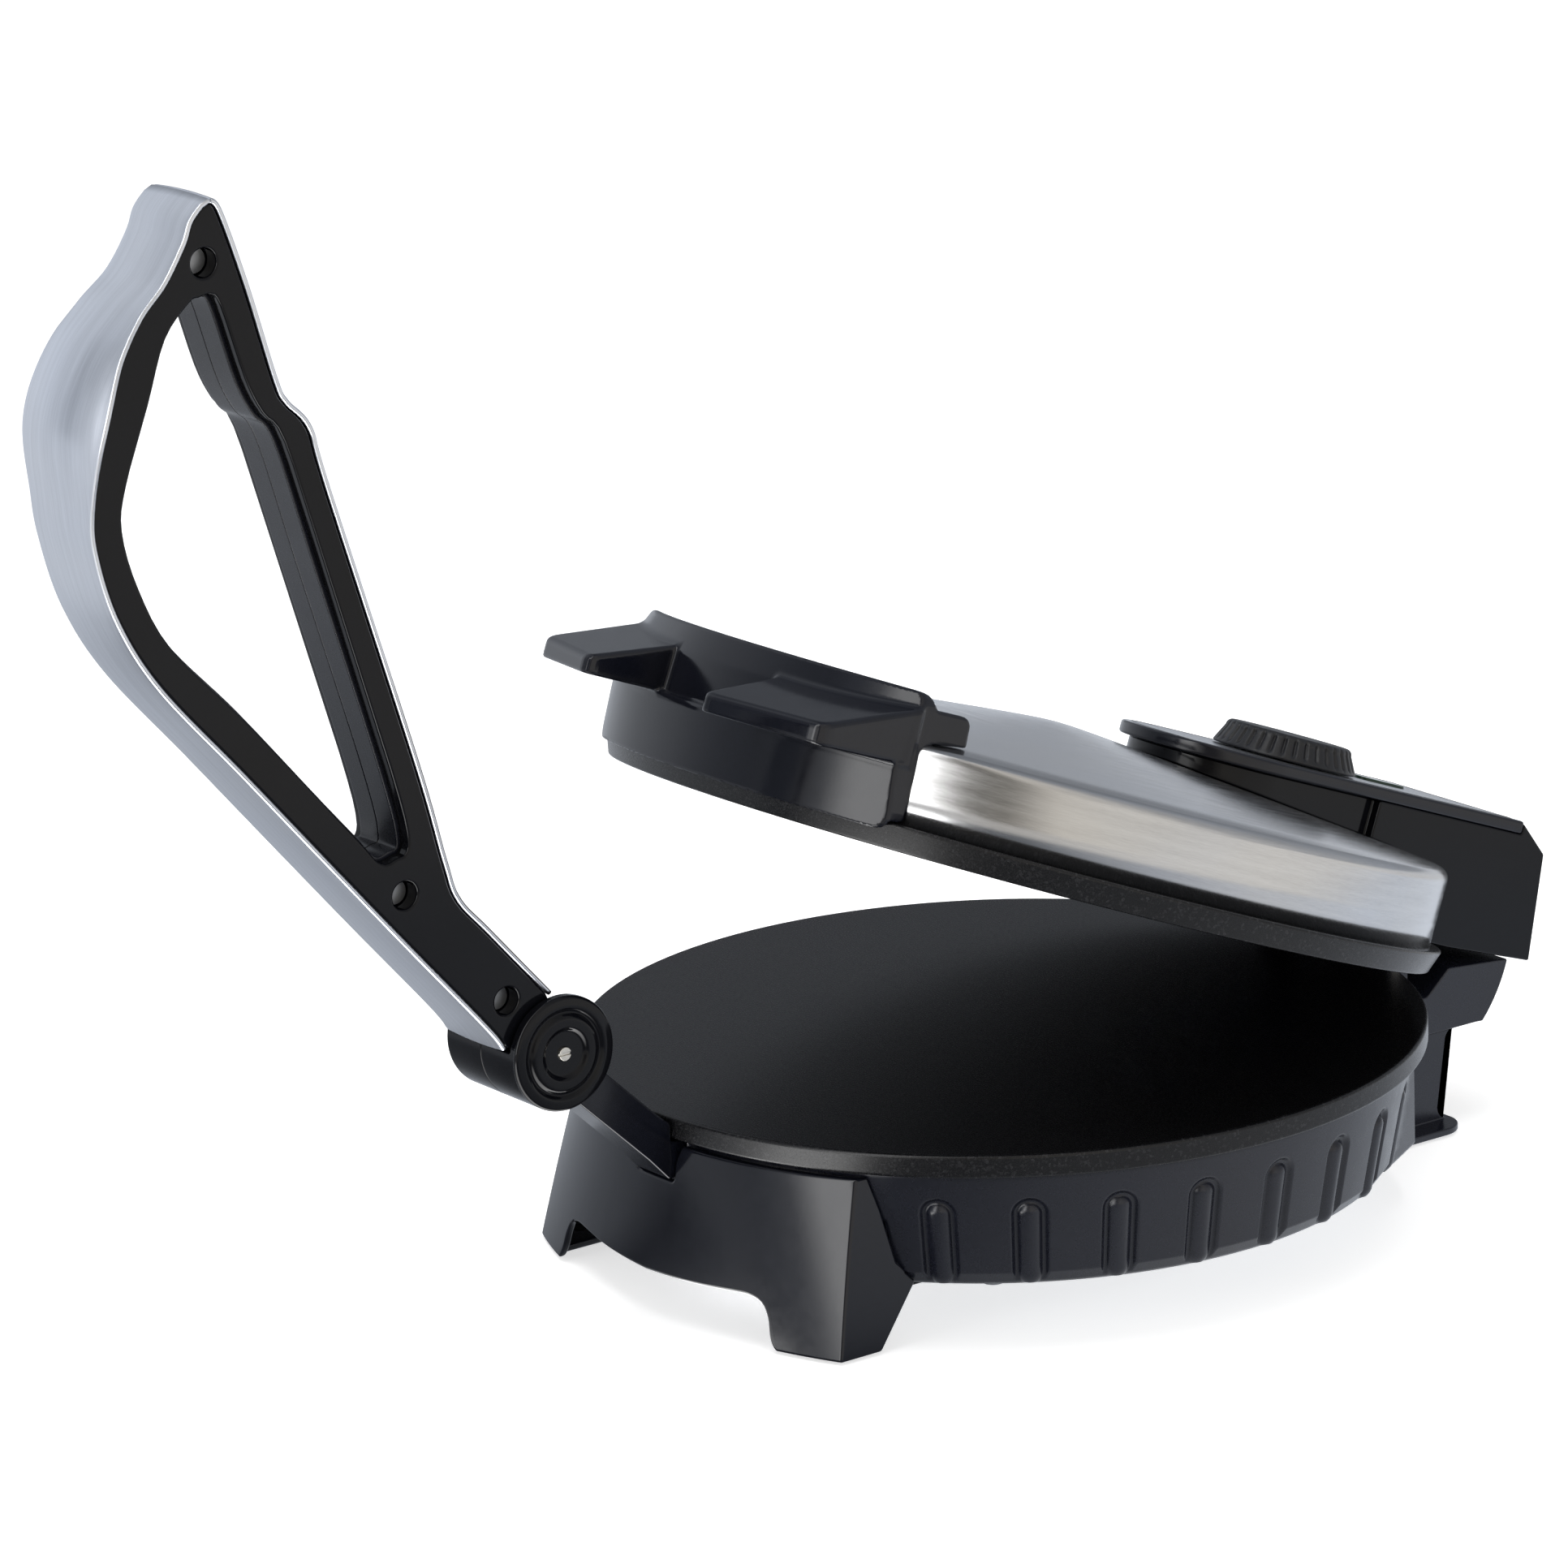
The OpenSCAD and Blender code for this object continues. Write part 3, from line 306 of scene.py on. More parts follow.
def surface(name):
    """A new material with its tree, Principled shader and object coordinates."""
    material = bpy.data.materials.new(name)
    material.use_nodes = True
    tree = material.node_tree
    tree.nodes.clear()
    shader = add(tree, "BsdfPrincipled")
    add(tree, "OutputMaterial", {"Surface": shader.outputs[0]})
    return material, tree, shader, add(tree, "TexCoord").outputs["Object"]


def per_mm(size):
    """The scale of a pattern whose features are size millimetres wide, in metres of space."""
    return 1.0 / (size * MM)


def dress(tree, shader, links, values):
    """Gives the shader what it needs: links from sockets, values as they are."""
    for key, socket in links.items():
        tree.links.new(socket, shader.inputs[key])
    for key, value in values.items():
        shader.inputs[key].default_value = value


def clouded(tree, place, size, detail, roughness, dark, light):
    """A colour that drifts between two tones in clouds about size millimetres wide."""
    clouds = add(tree, "TexNoise", {"Vector": place, "Scale": per_mm(size), "Detail": detail,
                                    "Roughness": roughness})
    tones = {0: clouds.outputs[0], 6: linear(dark), 7: linear(light)}
    return add(tree, "Mix", tones, data_type="RGBA").outputs[2]


def moulded(name, dark, light, rough, grain, depth, specular=0.5):
    """Moulded plastic, rubber or ceramic: two near tones in slow clouds, roughness that wanders a
    little, and the fine skin of the mould, grain millimetres wide and depth millimetres deep."""
    material, tree, shader, place = surface(name)
    colour = clouded(tree, place, 35, 3.0, 0.55, dark, light)
    skin = add(tree, "TexNoise", {"Vector": place, "Scale": per_mm(grain), "Detail": 2.0,
                                  "Roughness": 0.6})
    wear = add(tree, "TexNoise", {"Vector": place, "Scale": per_mm(6), "Detail": 5.0,
                                  "Roughness": 0.7})
    sheen = add(tree, "MapRange", {0: wear.outputs[0], 1: 0.3, 2: 0.7, 3: rough[0], 4: rough[1]})
    bump = add(tree, "Bump", {"Height": skin.outputs[0], "Strength": 0.6, "Distance": depth * MM})
    dress(tree, shader, {"Base Color": colour, "Roughness": sheen.outputs[0], "Normal": bump.outputs[0]},
          {"IOR": 1.5, "Specular IOR Level": specular})
    return material


def brushed(name, warm, cool, rough, place_of, stretch, line):
    """Brushed stainless steel: fine grinding lines, line millimetres apart and drawn out by stretch,
    and bands nine times as wide move the tone and the roughness, and the lines lift the surface;
    slow clouds turn the colour between warm and cool."""
    material, tree, shader, place = surface(name)
    drawn = add(tree, "Mapping", {"Vector": place_of(tree, place), "Scale": stretch}).outputs[0]
    lines = add(tree, "TexNoise", {"Vector": drawn, "Scale": per_mm(line), "Detail": 3.0,
                                   "Roughness": 0.65})
    bands = add(tree, "TexNoise", {"Vector": drawn, "Scale": per_mm(line * 9), "Detail": 2.0,
                                   "Roughness": 0.5})
    both = add(tree, "Math", {0: lines.outputs[0], 1: bands.outputs[0]}, operation="ADD").outputs[0]
    tint = clouded(tree, place, 45, 3.0, 0.5, warm, cool)
    shade = add(tree, "MapRange", {0: both, 1: 0.7, 2: 1.3, 3: 0.84, 4: 1.0})
    colour = add(tree, "Mix", {0: 1.0, 6: tint, 7: shade.outputs[0]}, data_type="RGBA",
                 blend_type="MULTIPLY")
    sheen = add(tree, "MapRange", {0: both, 1: 0.7, 2: 1.3, 3: rough[0], 4: rough[1]})
    bump = add(tree, "Bump", {"Height": lines.outputs[0], "Strength": 0.3, "Distance": 0.003 * MM})
    dress(tree, shader, {"Base Color": colour.outputs[2], "Roughness": sheen.outputs[0],
                         "Normal": bump.outputs[0]}, {"Metallic": 1.0})
    return material


def shut_lid(tree, place):
    """Object coordinates carried back to the shut lid's frame, centred on the plate's axis."""
    moved = add(tree, "Mapping", {"Vector": place, "Location": tuple(-on_base(HINGE))})
    back = add(tree, "Mapping", {"Vector": moved.outputs[0], "Rotation": (LID_OPEN, 0, 0)})
    return add(tree, "Mapping", {"Vector": back.outputs[0], "Location": tuple(HINGE * MM)}).outputs[0]


def base_frame(tree, place):
    """Object coordinates centred on the lower plate's cooking face."""
    return add(tree, "Mapping", {"Vector": place, "Location": tuple(-PLATE * MM)}).outputs[0]


def from_axis(tree, x, y):
    """The distance of (x, y) from the Z axis."""
    flat = add(tree, "CombineXYZ", {0: x, 1: y, 2: 0.0})
    return add(tree, "VectorMath", {0: flat.outputs[0]}, operation="LENGTH").outputs["Value"]


def round_lines(tree, place):
    """(angle, radius, height) of the shut lid's frame, for lines that run round the cover. The
    angle is scaled to metres near the rim, and its seam lies at the back, under the control box."""
    x, y, z = add(tree, "SeparateXYZ", {0: shut_lid(tree, place)}).outputs
    back = add(tree, "Math", {0: y, 1: -1.0}, operation="MULTIPLY")
    angle = add(tree, "Math", {0: x, 1: back.outputs[0]}, operation="ARCTAN2")
    rim = add(tree, "Math", {0: angle.outputs[0], 1: 0.12}, operation="MULTIPLY")
    return add(tree, "CombineXYZ", {0: rim.outputs[0], 1: from_axis(tree, x, y), 2: z}).outputs[0]


def strap_lines(tree, place):
    """The strap's own map: metres along it and across it."""
    return add(tree, "UVMap", uv_map="along").outputs[0]


def cast_coat(name, place_of, rim_radius):
    """Non-stick coat on cast aluminium: a satin near black face with a faint fine grain, and an
    edge, beyond rim_radius, where the casting's coarser grain shows through and a few specks catch
    the light."""
    material, tree, shader, place = surface(name)
    x, y, _ = add(tree, "SeparateXYZ", {0: place_of(tree, place)}).outputs
    rim = add(tree, "MapRange", {0: from_axis(tree, x, y), 1: (rim_radius - 1.2) * MM,
                                 2: rim_radius * MM, 3: 0.0, 4: 1.0}).outputs[0]
    grains = add(tree, "TexVoronoi", {"Vector": place, "Scale": per_mm(0.7)}, feature="F1")
    grey = add(tree, "SeparateColor", {0: grains.outputs["Color"]}).outputs[0]
    fine = add(tree, "TexNoise", {"Vector": place, "Scale": per_mm(0.5), "Detail": 3.0,
                                  "Roughness": 0.7})
    fleck = add(tree, "MapRange", {0: grey, 1: 0.80, 2: 1.0, 3: 0.0, 4: 1.0})
    face = clouded(tree, place, 30, 4.0, 0.6, "#0b0b0c", "#111112")
    edge = add(tree, "Mix", {0: fleck.outputs[0], 6: linear("#151517"), 7: linear("#2c2c2e")},
               data_type="RGBA")
    colour = add(tree, "Mix", {0: rim, 6: face, 7: edge.outputs[2]}, data_type="RGBA")
    sheen = add(tree, "MapRange", {0: fine.outputs[0], 1: 0.3, 2: 0.7, 3: 0.22, 4: 0.30})
    low = add(tree, "Math", {0: fine.outputs[0], 1: 0.05}, operation="MULTIPLY")
    high = add(tree, "Math", {0: rim, 1: grey}, operation="MULTIPLY")
    height = add(tree, "Math", {0: low.outputs[0], 1: high.outputs[0]}, operation="ADD")
    bump = add(tree, "Bump", {"Height": height.outputs[0], "Strength": 0.6, "Distance": 0.06 * MM})
    dress(tree, shader, {"Base Color": colour.outputs[2], "Roughness": sheen.outputs[0],
                         "Normal": bump.outputs[0]}, {"IOR": 1.45, "Specular IOR Level": 0.4})
    return material


def metal(name, dark, light, rough, grain):
    """Plain metal: two tones in clouds and a fine grain that moves the roughness."""
    material, tree, shader, place = surface(name)
    colour = clouded(tree, place, 12, 5.0, 0.65, dark, light)
    fine = add(tree, "TexNoise", {"Vector": place, "Scale": per_mm(grain), "Detail": 3.0,
                                  "Roughness": 0.6})
    sheen = add(tree, "MapRange", {0: fine.outputs[0], 1: 0.3, 2: 0.7, 3: rough[0], 4: rough[1]})
    bump = add(tree, "Bump", {"Height": fine.outputs[0], "Strength": 0.3, "Distance": 0.02 * MM})
    dress(tree, shader, {"Base Color": colour, "Roughness": sheen.outputs[0], "Normal": bump.outputs[0]},
          {"Metallic": 1.0})
    return material


def tinted_glass(name, deep, pale, weight, rough):
    """A tinted clear moulding: the colour drifts between two tones, part of the light goes through."""
    material, tree, shader, place = surface(name)
    dress(tree, shader, {"Base Color": clouded(tree, place, 4, 2.0, 0.5, deep, pale)},
          {"Transmission Weight": weight, "Roughness": rough, "IOR": 1.5})
    return material


# Glossy ABS with a polished mould: mirror-like, bluish black, with a faint orange peel
GLOSS = moulded("glossy_black_ABS", "#101118", "#171922", (0.10, 0.17), 2.2, 0.008, specular=0.42)
# The same ABS on the hub, the lever and the control box: darker, a little sharper, less reflective
PIANO = moulded("polished_black_ABS", "#0a0a0d", "#101116", (0.07, 0.12), 2.5, 0.004, specular=0.22)
# Satin ABS from a spark-eroded mould: bluish, soft highlights, fine even grain
SATIN = moulded("satin_black_ABS", "#171821", "#1f212b", (0.24, 0.31), 0.6, 0.002)
# Ribbed control knob: matt ABS, grey black, with no clear mirror image
KNOB = moulded("matt_black_ABS", "#101013", "#17181c", (0.38, 0.50), 0.40, 0.025)
# Moulded rubber: dull and slightly dusty
RUBBER = moulded("moulded_rubber", "#0d0d0d", "#191918", (0.62, 0.80), 0.5, 0.05)
# Glazed steatite of the terminal block and the fuse: warm white, half gloss
STEATITE = moulded("glazed_steatite", "#cfcab8", "#e2ddcd", (0.25, 0.4), 0.8, 0.02)
# Brushed stainless steel, streaked along its lines: they run round the cover, along the strap and
# from front to back on the panel
COVER_STEEL = brushed("brushed_stainless_cover", "#d2d0cd", "#cacdd3", (0.15, 0.23),
                      round_lines, (0.06, 1.0, 1.0), 0.22)
STRAP_STEEL = brushed("brushed_stainless_strap", "#eceef2", "#dfe4ee", (0.28, 0.36),
                      strap_lines, (0.02, 1.0, 1.0), 0.25)
PANEL_STEEL = brushed("brushed_stainless_panel", "#c0c2c6", "#b4b8c0", (0.22, 0.32),
                      shut_lid, (1.0, 0.03, 1.0), 0.30)
# Coated cast plates: near black and satin, with specks on the edge outside the cooking face
CAST_LOWER = cast_coat("nonstick_cast_aluminium_lower", base_frame, 126.6)
CAST_UPPER = cast_coat("nonstick_cast_aluminium_upper", shut_lid, 125.4)
# Zinc plate on sheet and screws: cool grey, half matt
ZINC = metal("zinc_plated_steel", "#8c8e92", "#a9abae", (0.3, 0.45), 0.5)
# Turned pins: bright, slightly warm
TURNED = metal("turned_steel", "#d6d2c9", "#f0ede6", (0.25, 0.4), 0.4)
# Sheath of the heating rings: brown grey and dull from the heat
SHEATH = metal("annealed_steel_sheath", "#4a4440", "#6b655e", (0.45, 0.6), 0.5)
# Turned bushes: yellow, half gloss
BRASS = metal("turned_brass", "#a8843f", "#c9a961", (0.22, 0.35), 0.4)
# Lens over the lamp: dark clear green, glossy
LENS = tinted_glass("green_polycarbonate", "#0d2a1a", "#174028", 0.35, 0.08)
# Glass of the neon lamp: clear, with an amber tint
LAMP = tinted_glass("neon_lamp_glass", "#c98a52", "#e2b080", 0.6, 0.05)

# Every solid starts with the plain finish of its slot
PLAIN = {"plain_steel": ZINC, "element_sheath": SHEATH, "brass": BRASS, "rubber": RUBBER,
         "ceramic": STEATITE, "green_lens": LENS, "lamp_glass": LAMP, "gloss_black": GLOSS,
         "tub_plastic": SATIN, "brushed_steel": PANEL_STEEL, "nonstick_cast": CAST_LOWER}
for node, piece in frame["nodes"].items():
    piece.data.materials.clear()
    piece.data.materials.append(PLAIN[slot_of[node]])

# Moulded, cast and turned pieces, each with the width of its rounded edges
for node, finish, edge in [
        ("front_skirt", GLOSS, 0.9), ("press_arm", GLOSS, 0.6), ("hub_shell_far", PIANO, 0.45),
        ("rear_post", SATIN, 0.5), ("hinge_knuckle", SATIN, 0.5), ("control_box", PIANO, 0.7),
        ("control_bezel", GLOSS, 0.9), ("lower_plate", CAST_LOWER, 0.25),
        ("upper_plate", CAST_UPPER, 0.25), ("lever_core_near", PIANO, 0.9),
        ("lever_core_far", PIANO, 0.9), ("front_feet", RUBBER, 0.25), ("rear_feet", RUBBER, 0.25),
        ("control_panel", PANEL_STEEL, 0.15), ("indicator_lens", LENS, 0.4),
        ("cord_gland", RUBBER, 0.4), ("hub_axle", TURNED, 0.15), ("hinge_pin", TURNED, 0.3),
        ("lever_bushes", BRASS, 0.2), ("bottom_cover", ZINC, 0.1)]:
    refine(node, finish, edge)
refine("hub_shell_near", PIANO, 0.45, keep_below=16.4)

# Tub
TUB_TOP, TUB_FOOT, TUB_INSIDE = -6.8, -42.8, 103.0
TUB_WALL = ((TUB_FOOT, 114.0), (-38.4, 117.2), (TUB_TOP, 123.2))
TUB_FLUTES = np.radians(-47 + 12.5 * np.arange(8))
FLUTE_TOP, FLUTE_FOOT, FLUTE_R, FLUTE_DEEP, FLUTE_RIM = -20.0, -39.3, 5.7, 1.5, 1.5
BAR_R, BAR_SUNK, LIP_R, MIDDLE_R = 4.0, 3.5, 114.0, 118.5
SHOULDER_TURN, SHOULDER_FACE, SHOULDER_MOST = math.radians(30.2), 113.6, 123
SHOULDER_ENDS = (math.radians(40), math.radians(74.48))
NOTCH_TURN, NOTCH_FOOT, NOTCH_TOP = math.radians(4.23), -30.0, -19.5


def turn_between(a, b):
    """The angle between directions a and b, either way round."""
    return np.abs((a - b + np.pi) % (2 * np.pi) - np.pi)


def tub():
    """The tub's wall as a radius over angle and height. A flute sinks it, at distance d from the
    flute's vertical spine, by 1.5 mm * ease((5.7 - d) / 1.5), and a bar in the flute reaches
    sqrt(4^2 - d^2) - 3.5 mm out of the wall. Beside the post a flat shoulder reaches
    113.6 / cos(a - 30.2 deg), at most 123. Nine more rings lead round the foot and up the inside
    to the top. In front the wall is squeezed down, as a notch for the arm."""
    flutes = np.concatenate([TUB_FLUTES, np.pi - TUB_FLUTES])
    near = (flutes[:, None] + np.linspace(-6.2, 6.2, 39) / MIDDLE_R).ravel()
    even = np.linspace(-np.pi, np.pi, 240, endpoint=False)
    between = even[turn_between(even[:, None], flutes).min(1) > 6.4 / MIDDLE_R]
    breaks = np.radians([52.6, 74.45, 74.5, 105.5, 105.55, 127.4, -94.25, -94.2, -85.8, -85.75])
    angle = np.concatenate([near, between, breaks])
    angle = np.sort((angle + np.pi) % (2 * np.pi) - np.pi)[:, None]
    z = np.concatenate([[-7.0, -7.5], np.arange(-9, -12, -2.0), np.arange(-13, -22.5, -0.4),
                        np.arange(-22.8, -37, -1.0), np.arange(-37.2, -42.4, -0.4)])[None, :]
    wall_z, wall_r = np.array(TUB_WALL).T
    lean = (wall_r[2] - wall_r[1]) / (wall_z[2] - wall_z[1])
    plain = np.interp(z, wall_z, wall_r) - 0.35 * (z > -7.2)
    line = wall_r[2] + lean * (z - wall_z[2])
    across = turn_between(angle, flutes).min(1)[:, None] * MIDDLE_R
    trough = np.hypot(across, np.maximum(z - FLUTE_TOP, 0))
    bar = np.hypot(trough, np.maximum(FLUTE_FOOT - z, 0))
    r = np.minimum(plain, line - FLUTE_DEEP * ease((FLUTE_R - trough) / FLUTE_RIM))
    # Outside the bar its height is taken far below the wall, so that the wall stays as it is
    proud = np.sqrt(np.maximum(BAR_R ** 2 - bar ** 2, 0)) - 9 * (bar > BAR_R - 0.1)
    r = np.maximum(r, line - BAR_SUNK + proud)
    side = np.where(np.abs(angle) > np.pi / 2, np.pi - np.abs(angle), np.abs(angle))
    # The largest angle keeps the cosine well above zero in front, where there is no shoulder
    reach = np.minimum(SHOULDER_MOST, SHOULDER_FACE / np.cos(np.minimum(side, 1.31) - SHOULDER_TURN))
    beside = (angle > 0) & (side > SHOULDER_ENDS[0]) & (side < SHOULDER_ENDS[1])
    r = np.where(beside & (z < -8), np.maximum(r, reach), r)
    foot = np.where(beside, np.maximum(LIP_R, reach), LIP_R)
    rings = [(foot - 0.4, TUB_FOOT + 0.05), (foot - 1.0, TUB_FOOT), (TUB_INSIDE, TUB_FOOT),
             (TUB_INSIDE, -40.8), (110.8, -40.8), (114, -38.4), (120, -7.3), (120.4, TUB_TOP),
             (122.4, TUB_TOP)]
    ones = np.ones_like(angle)
    r = np.hstack([r] + [ring_r * ones for ring_r, _ in rings])
    z = np.hstack([z * ones] + [ring_z * ones for _, ring_z in rings])
    notch = (np.abs(angle + np.pi / 2) < NOTCH_TURN) & (z > NOTCH_FOOT)
    squeeze = (NOTCH_TOP - NOTCH_FOOT) / (TUB_TOP - NOTCH_FOOT)
    z = np.where(notch, NOTCH_FOOT + (z - NOTCH_FOOT) * squeeze, z)
    points = np.stack([r * np.cos(angle), r * np.sin(angle), z], -1)
    new_piece("base_shell_fluted", on_base(points), [grid_faces(*r.shape)], "base", SATIN,
              ["base_shell"])


tub()

# Front block with its two finger lugs
GRIP_SECTION = [[128.5, 5.6], [129.9, 5.6], [130.9, 23.2], [130.5, 25.2], [128.3, 25.6], [127.8, 37.8],
                [124.6, 46.4], [122.3, 46.4], [121, 42.2], [112, 42.2], [110.6, 40.6], [110.6, 33.5],
                [119.9, 32.6], [121.8, 31.8], [123.2, 30.6], [123.7, 28.6], [124.9, 8.8], [128.5, 8.8]]
GRIP_ENDS = [[-69.8, 5.5], [69.8, 5.5], [67.3, 46.5], [-67.3, 46.5]]
LUG_PLAN = [[21.4, -106], [27.4, -153.4], [68.6, -139.9], [68.6, -106]]
LUG_LOW, LUG_CORNER = 25.0, (68.6, -139.9, 31.1)
LUG_SLOPE, LUG_TILT = math.radians(17.4), math.radians(4.7)
LUG_TOP = (math.cos(LUG_SLOPE) * math.sin(LUG_TILT), -math.sin(LUG_SLOPE),
           math.cos(LUG_SLOPE) * math.cos(LUG_TILT))
LUG_BACK_R = 124.8


def grip_field(p):
    """Distance from the front block: its section, as (radius, z), between its two end planes, and
    the lugs, prisms under a slanting plane, all met with rounded creases and fillets. The block is
    left out beyond y = -60, because its section and end planes would else meet at the back too."""
    x, y, z = np.abs(p[..., 0]), p[..., 1], p[..., 2]
    r = np.hypot(x, y)
    block = round_max(outline_distance(r, z, GRIP_OUTLINE), outline_distance(x, z, ENDS_OUTLINE), 0.9)
    lug = round_max(outline_distance(x, y, LUG_OUTLINE), LUG_LOW - z, 1.2)
    over = sum(n * (at - corner) for n, at, corner in zip(LUG_TOP, (x, y, z), LUG_CORNER))
    lug = round_max(round_max(lug, over, 1.8), LUG_BACK_R - r, 1.0)
    return round_min(np.where(y < -60, block, 50.0), lug, 1.5)


GRIP_OUTLINE = eased(GRIP_SECTION, 0.9)
ENDS_OUTLINE = eased(GRIP_ENDS, np.array([6.0, 6.0, 5.0, 5.0]))
LUG_OUTLINE = eased(LUG_PLAN, np.array([1.0, 4.5, 4.5, 1.0]))


def grip():
    """The front block, its surface drawn from its distance field and turned open with the lid."""
    verts, faces, up = surface_of(grip_field, (-72, -157, 4), (72.5, -84, 49), 0.85)
    places = on_lid(verts)
    normals = (on_lid(verts + up) - places) / MM
    new_piece("front_grip_moulded", places, [faces], "lid", GLOSS, ["front_grip"],
              normals=normals)


grip()

# End face of the hub and lining of the lever's hand hole
HUB_END, HUB_R, HUB_ROUND, HUB_BORE, HUB_BACK = 18.1, 16.9, 0.9, 2.05, 16.2


def hub_face():
    """The hub's near end over radius r, carried round the axle. From its flat it sinks by a dish,
    1.1 (1 - ease((r - 6.3) / 1.8)), a round groove, exp(-(r - 12.1)^2), a faint crown,
    0.1 ((r - 9.6) / 3)^2 beyond r = 8, and a quarter round of 0.9 mm at its edge."""
    flat_r = HUB_R - HUB_ROUND
    round_r = flat_r + HUB_ROUND * np.sin(np.radians(np.linspace(0, 90, 8)))
    r = np.concatenate([np.linspace(HUB_BORE, flat_r, 90), round_r[1:]])
    height = -1.1 * (1 - ease((r - 6.3) / 1.8)) - np.exp(-(r - 12.1) ** 2)
    height -= 0.10 * ((np.maximum(r, 8) - 9.6) / 3) ** 2
    height -= HUB_ROUND - np.sqrt(np.maximum(HUB_ROUND ** 2 - np.maximum(r - flat_r, 0) ** 2, 0))
    profile = np.vstack([np.stack([r, HUB_END + height], -1), [[HUB_R, HUB_BACK], [HUB_BORE, HUB_BACK]]])
    points, faces = lathe(profile, 160)
    points = np.stack([points[..., 2], points[..., 0] + HUB[1], points[..., 1] + HUB[2]], -1)
    new_piece("hub_face_turned", on_base(points), [faces], "base", PIANO,
              ["hub_shell_near"])


hub_face()

HAND_HOLE = [[253, 33.5], [253, 36.5], [247, 46.8], [232.6, 57.8], [215, 71.6], [204, 77],
             [187, 77.8], [167, 74.2], [139, 60.7], [104, 45.4], [89, 38.7], [79.5, 34.5],
             [78.2, 29.5], [80.5, 24.5], [102.8, 22.7], [166, 22.4], [204.5, 22.3], [215, 26],
             [226, 27.8], [248, 28], [252.4, 30]]


def hole_lining():
    """The raised band round the hand hole, 18.4 mm wide, carried round the hole's outline: its
    section stands 1.2 mm into the hole, with round edges and a V groove where the halves meet."""
    edge = smooth_curve(HAND_HOLE, 8, closed=True)
    inward = normals_of(edge, closed=True)
    middle = edge.mean(0)
    inward = inward * np.sign(((middle - edge) * inward).sum(-1).mean())
    half = np.vstack([[[0, 0.6], [0.1, 0.75], [0.28, 1.2], [0.45, 1.2], [8.55, 1.2]],
                      arc((8.85, 0.85), 0.35, 90, 0, 4), [[9.2, 0.5], [9.2, -0.6]]])
    section = np.vstack([half, (half * [-1, 1])[:0:-1]])
    x, proud = section[:, 0][None, :], section[:, 1][None, :]
    y, z = (edge[:, k:k + 1] + inward[:, k:k + 1] * proud for k in (0, 1))
    points = np.stack([x + 0 * y, y, z], -1)
    new_piece("lever_core_lining", on_lever(points), [grid_faces(*y.shape)], "lever", SATIN)


hole_lining()

# Lever strap
OUTER = [[9.8, 15.4], [19, 18.7], [54.7, 34.9], [90.7, 50.9], [124.9, 66], [158.8, 81.1],
         [181.9, 86.7], [202.5, 86.5], [215.3, 83.5], [231.5, 77], [247, 65.1], [255.6, 53.1],
         [260.8, 42.3], [268.2, 33], [273.1, 28.8], [275.6, 24.5]]
LID_SIDE = [[276, 22.2], [272, 20.5], [250, 19.8], [222, 20.2], [214.7, 19.1], [205, 14.8],
            [187, 15.2], [101.5, 15.2], [70.4, 16.3], [57.7, 15.9], [43.9, 9.8], [17.2, -2.5]]
STRAP_W, BULGE_W, BULGE_AT, BULGE_SPREAD, BULGE_CROWN, STRAP_T = 29.0, 42.0, 236.0, 18.7, 3.5, 1.5
STRAP_ACROSS, STRAP_ROUND = 25, 5


def strap():
    """The strap's cross-section carried along the core's edge. At each point p with normal n and at
    x = s (half - t / 2) the outer face is p + n (t + crown (1 - s^2)) and the inner face
    p + n (0.03 + 0.9 crown (1 - s^2)), where half and crown swell as
    exp(-((along - 236) / 18.7)^2); two half circles of radius t / 2 close its edges."""
    edge = np.vstack([smooth_curve(OUTER, 14), smooth_curve(LID_SIDE, 14)])
    n = normals_of(edge)
    swell = np.exp(-((edge[:, :1] - BULGE_AT) / BULGE_SPREAD) ** 2)
    swell = swell * np.clip((edge[:, 1:] - 35) / 25, 0, 1)
    s, r = np.linspace(-1, 1, STRAP_ACROSS), STRAP_T / 2
    inner_half = (STRAP_W + (BULGE_W - STRAP_W) * swell) / 2 - r
    dome = (0.5 + BULGE_CROWN * swell) * (1 - s * s)
    turn = np.radians(np.linspace(90, -90, STRAP_ROUND + 2))[1:-1]
    face, side = s * inner_half, inner_half + r * np.cos(turn)
    level = r + r * np.sin(turn) + 0 * side
    across = np.hstack([face, side, face[:, ::-1], -side[:, ::-1]])
    height = np.hstack([STRAP_T + dome, level, 0.03 + 0.9 * dome[:, ::-1], level[:, ::-1]])
    points = np.stack([across, edge[:, :1] + n[:, :1] * height, edge[:, 1:] + n[:, 1:] * height], -1)
    run = np.concatenate([[0], np.cumsum(np.linalg.norm(np.diff(edge, axis=0), axis=1))])
    rows, ring = across.shape
    uv = np.stack([np.repeat(run[:, None], ring, 1), across], -1) * MM
    # The two ends: quads between the faces, and a fan over each half circle
    half_ring, last = STRAP_ACROSS + STRAP_ROUND, (rows - 1) * ring
    top, bottom = np.arange(STRAP_ACROSS), np.arange(half_ring, half_ring + STRAP_ACROSS)[::-1]
    quads = np.stack([top[:-1], top[1:], bottom[1:], bottom[:-1]], -1)
    right = np.arange(STRAP_ACROSS - 1, half_ring + 1)
    left = (right + half_ring) % ring
    fans = np.vstack([np.stack([0 * k[1:-1] + k[0], k[1:-1], k[2:]], -1) for k in (right, left)])
    faces = [grid_faces(rows, ring, wrap_rows=False), quads[:, ::-1], quads + last, fans[:, ::-1],
             fans + last]
    new_piece("lever_strap_brushed", on_lever(points), faces, "lever", STRAP_STEEL,
              ["lever_strap"], uv=uv)


strap()

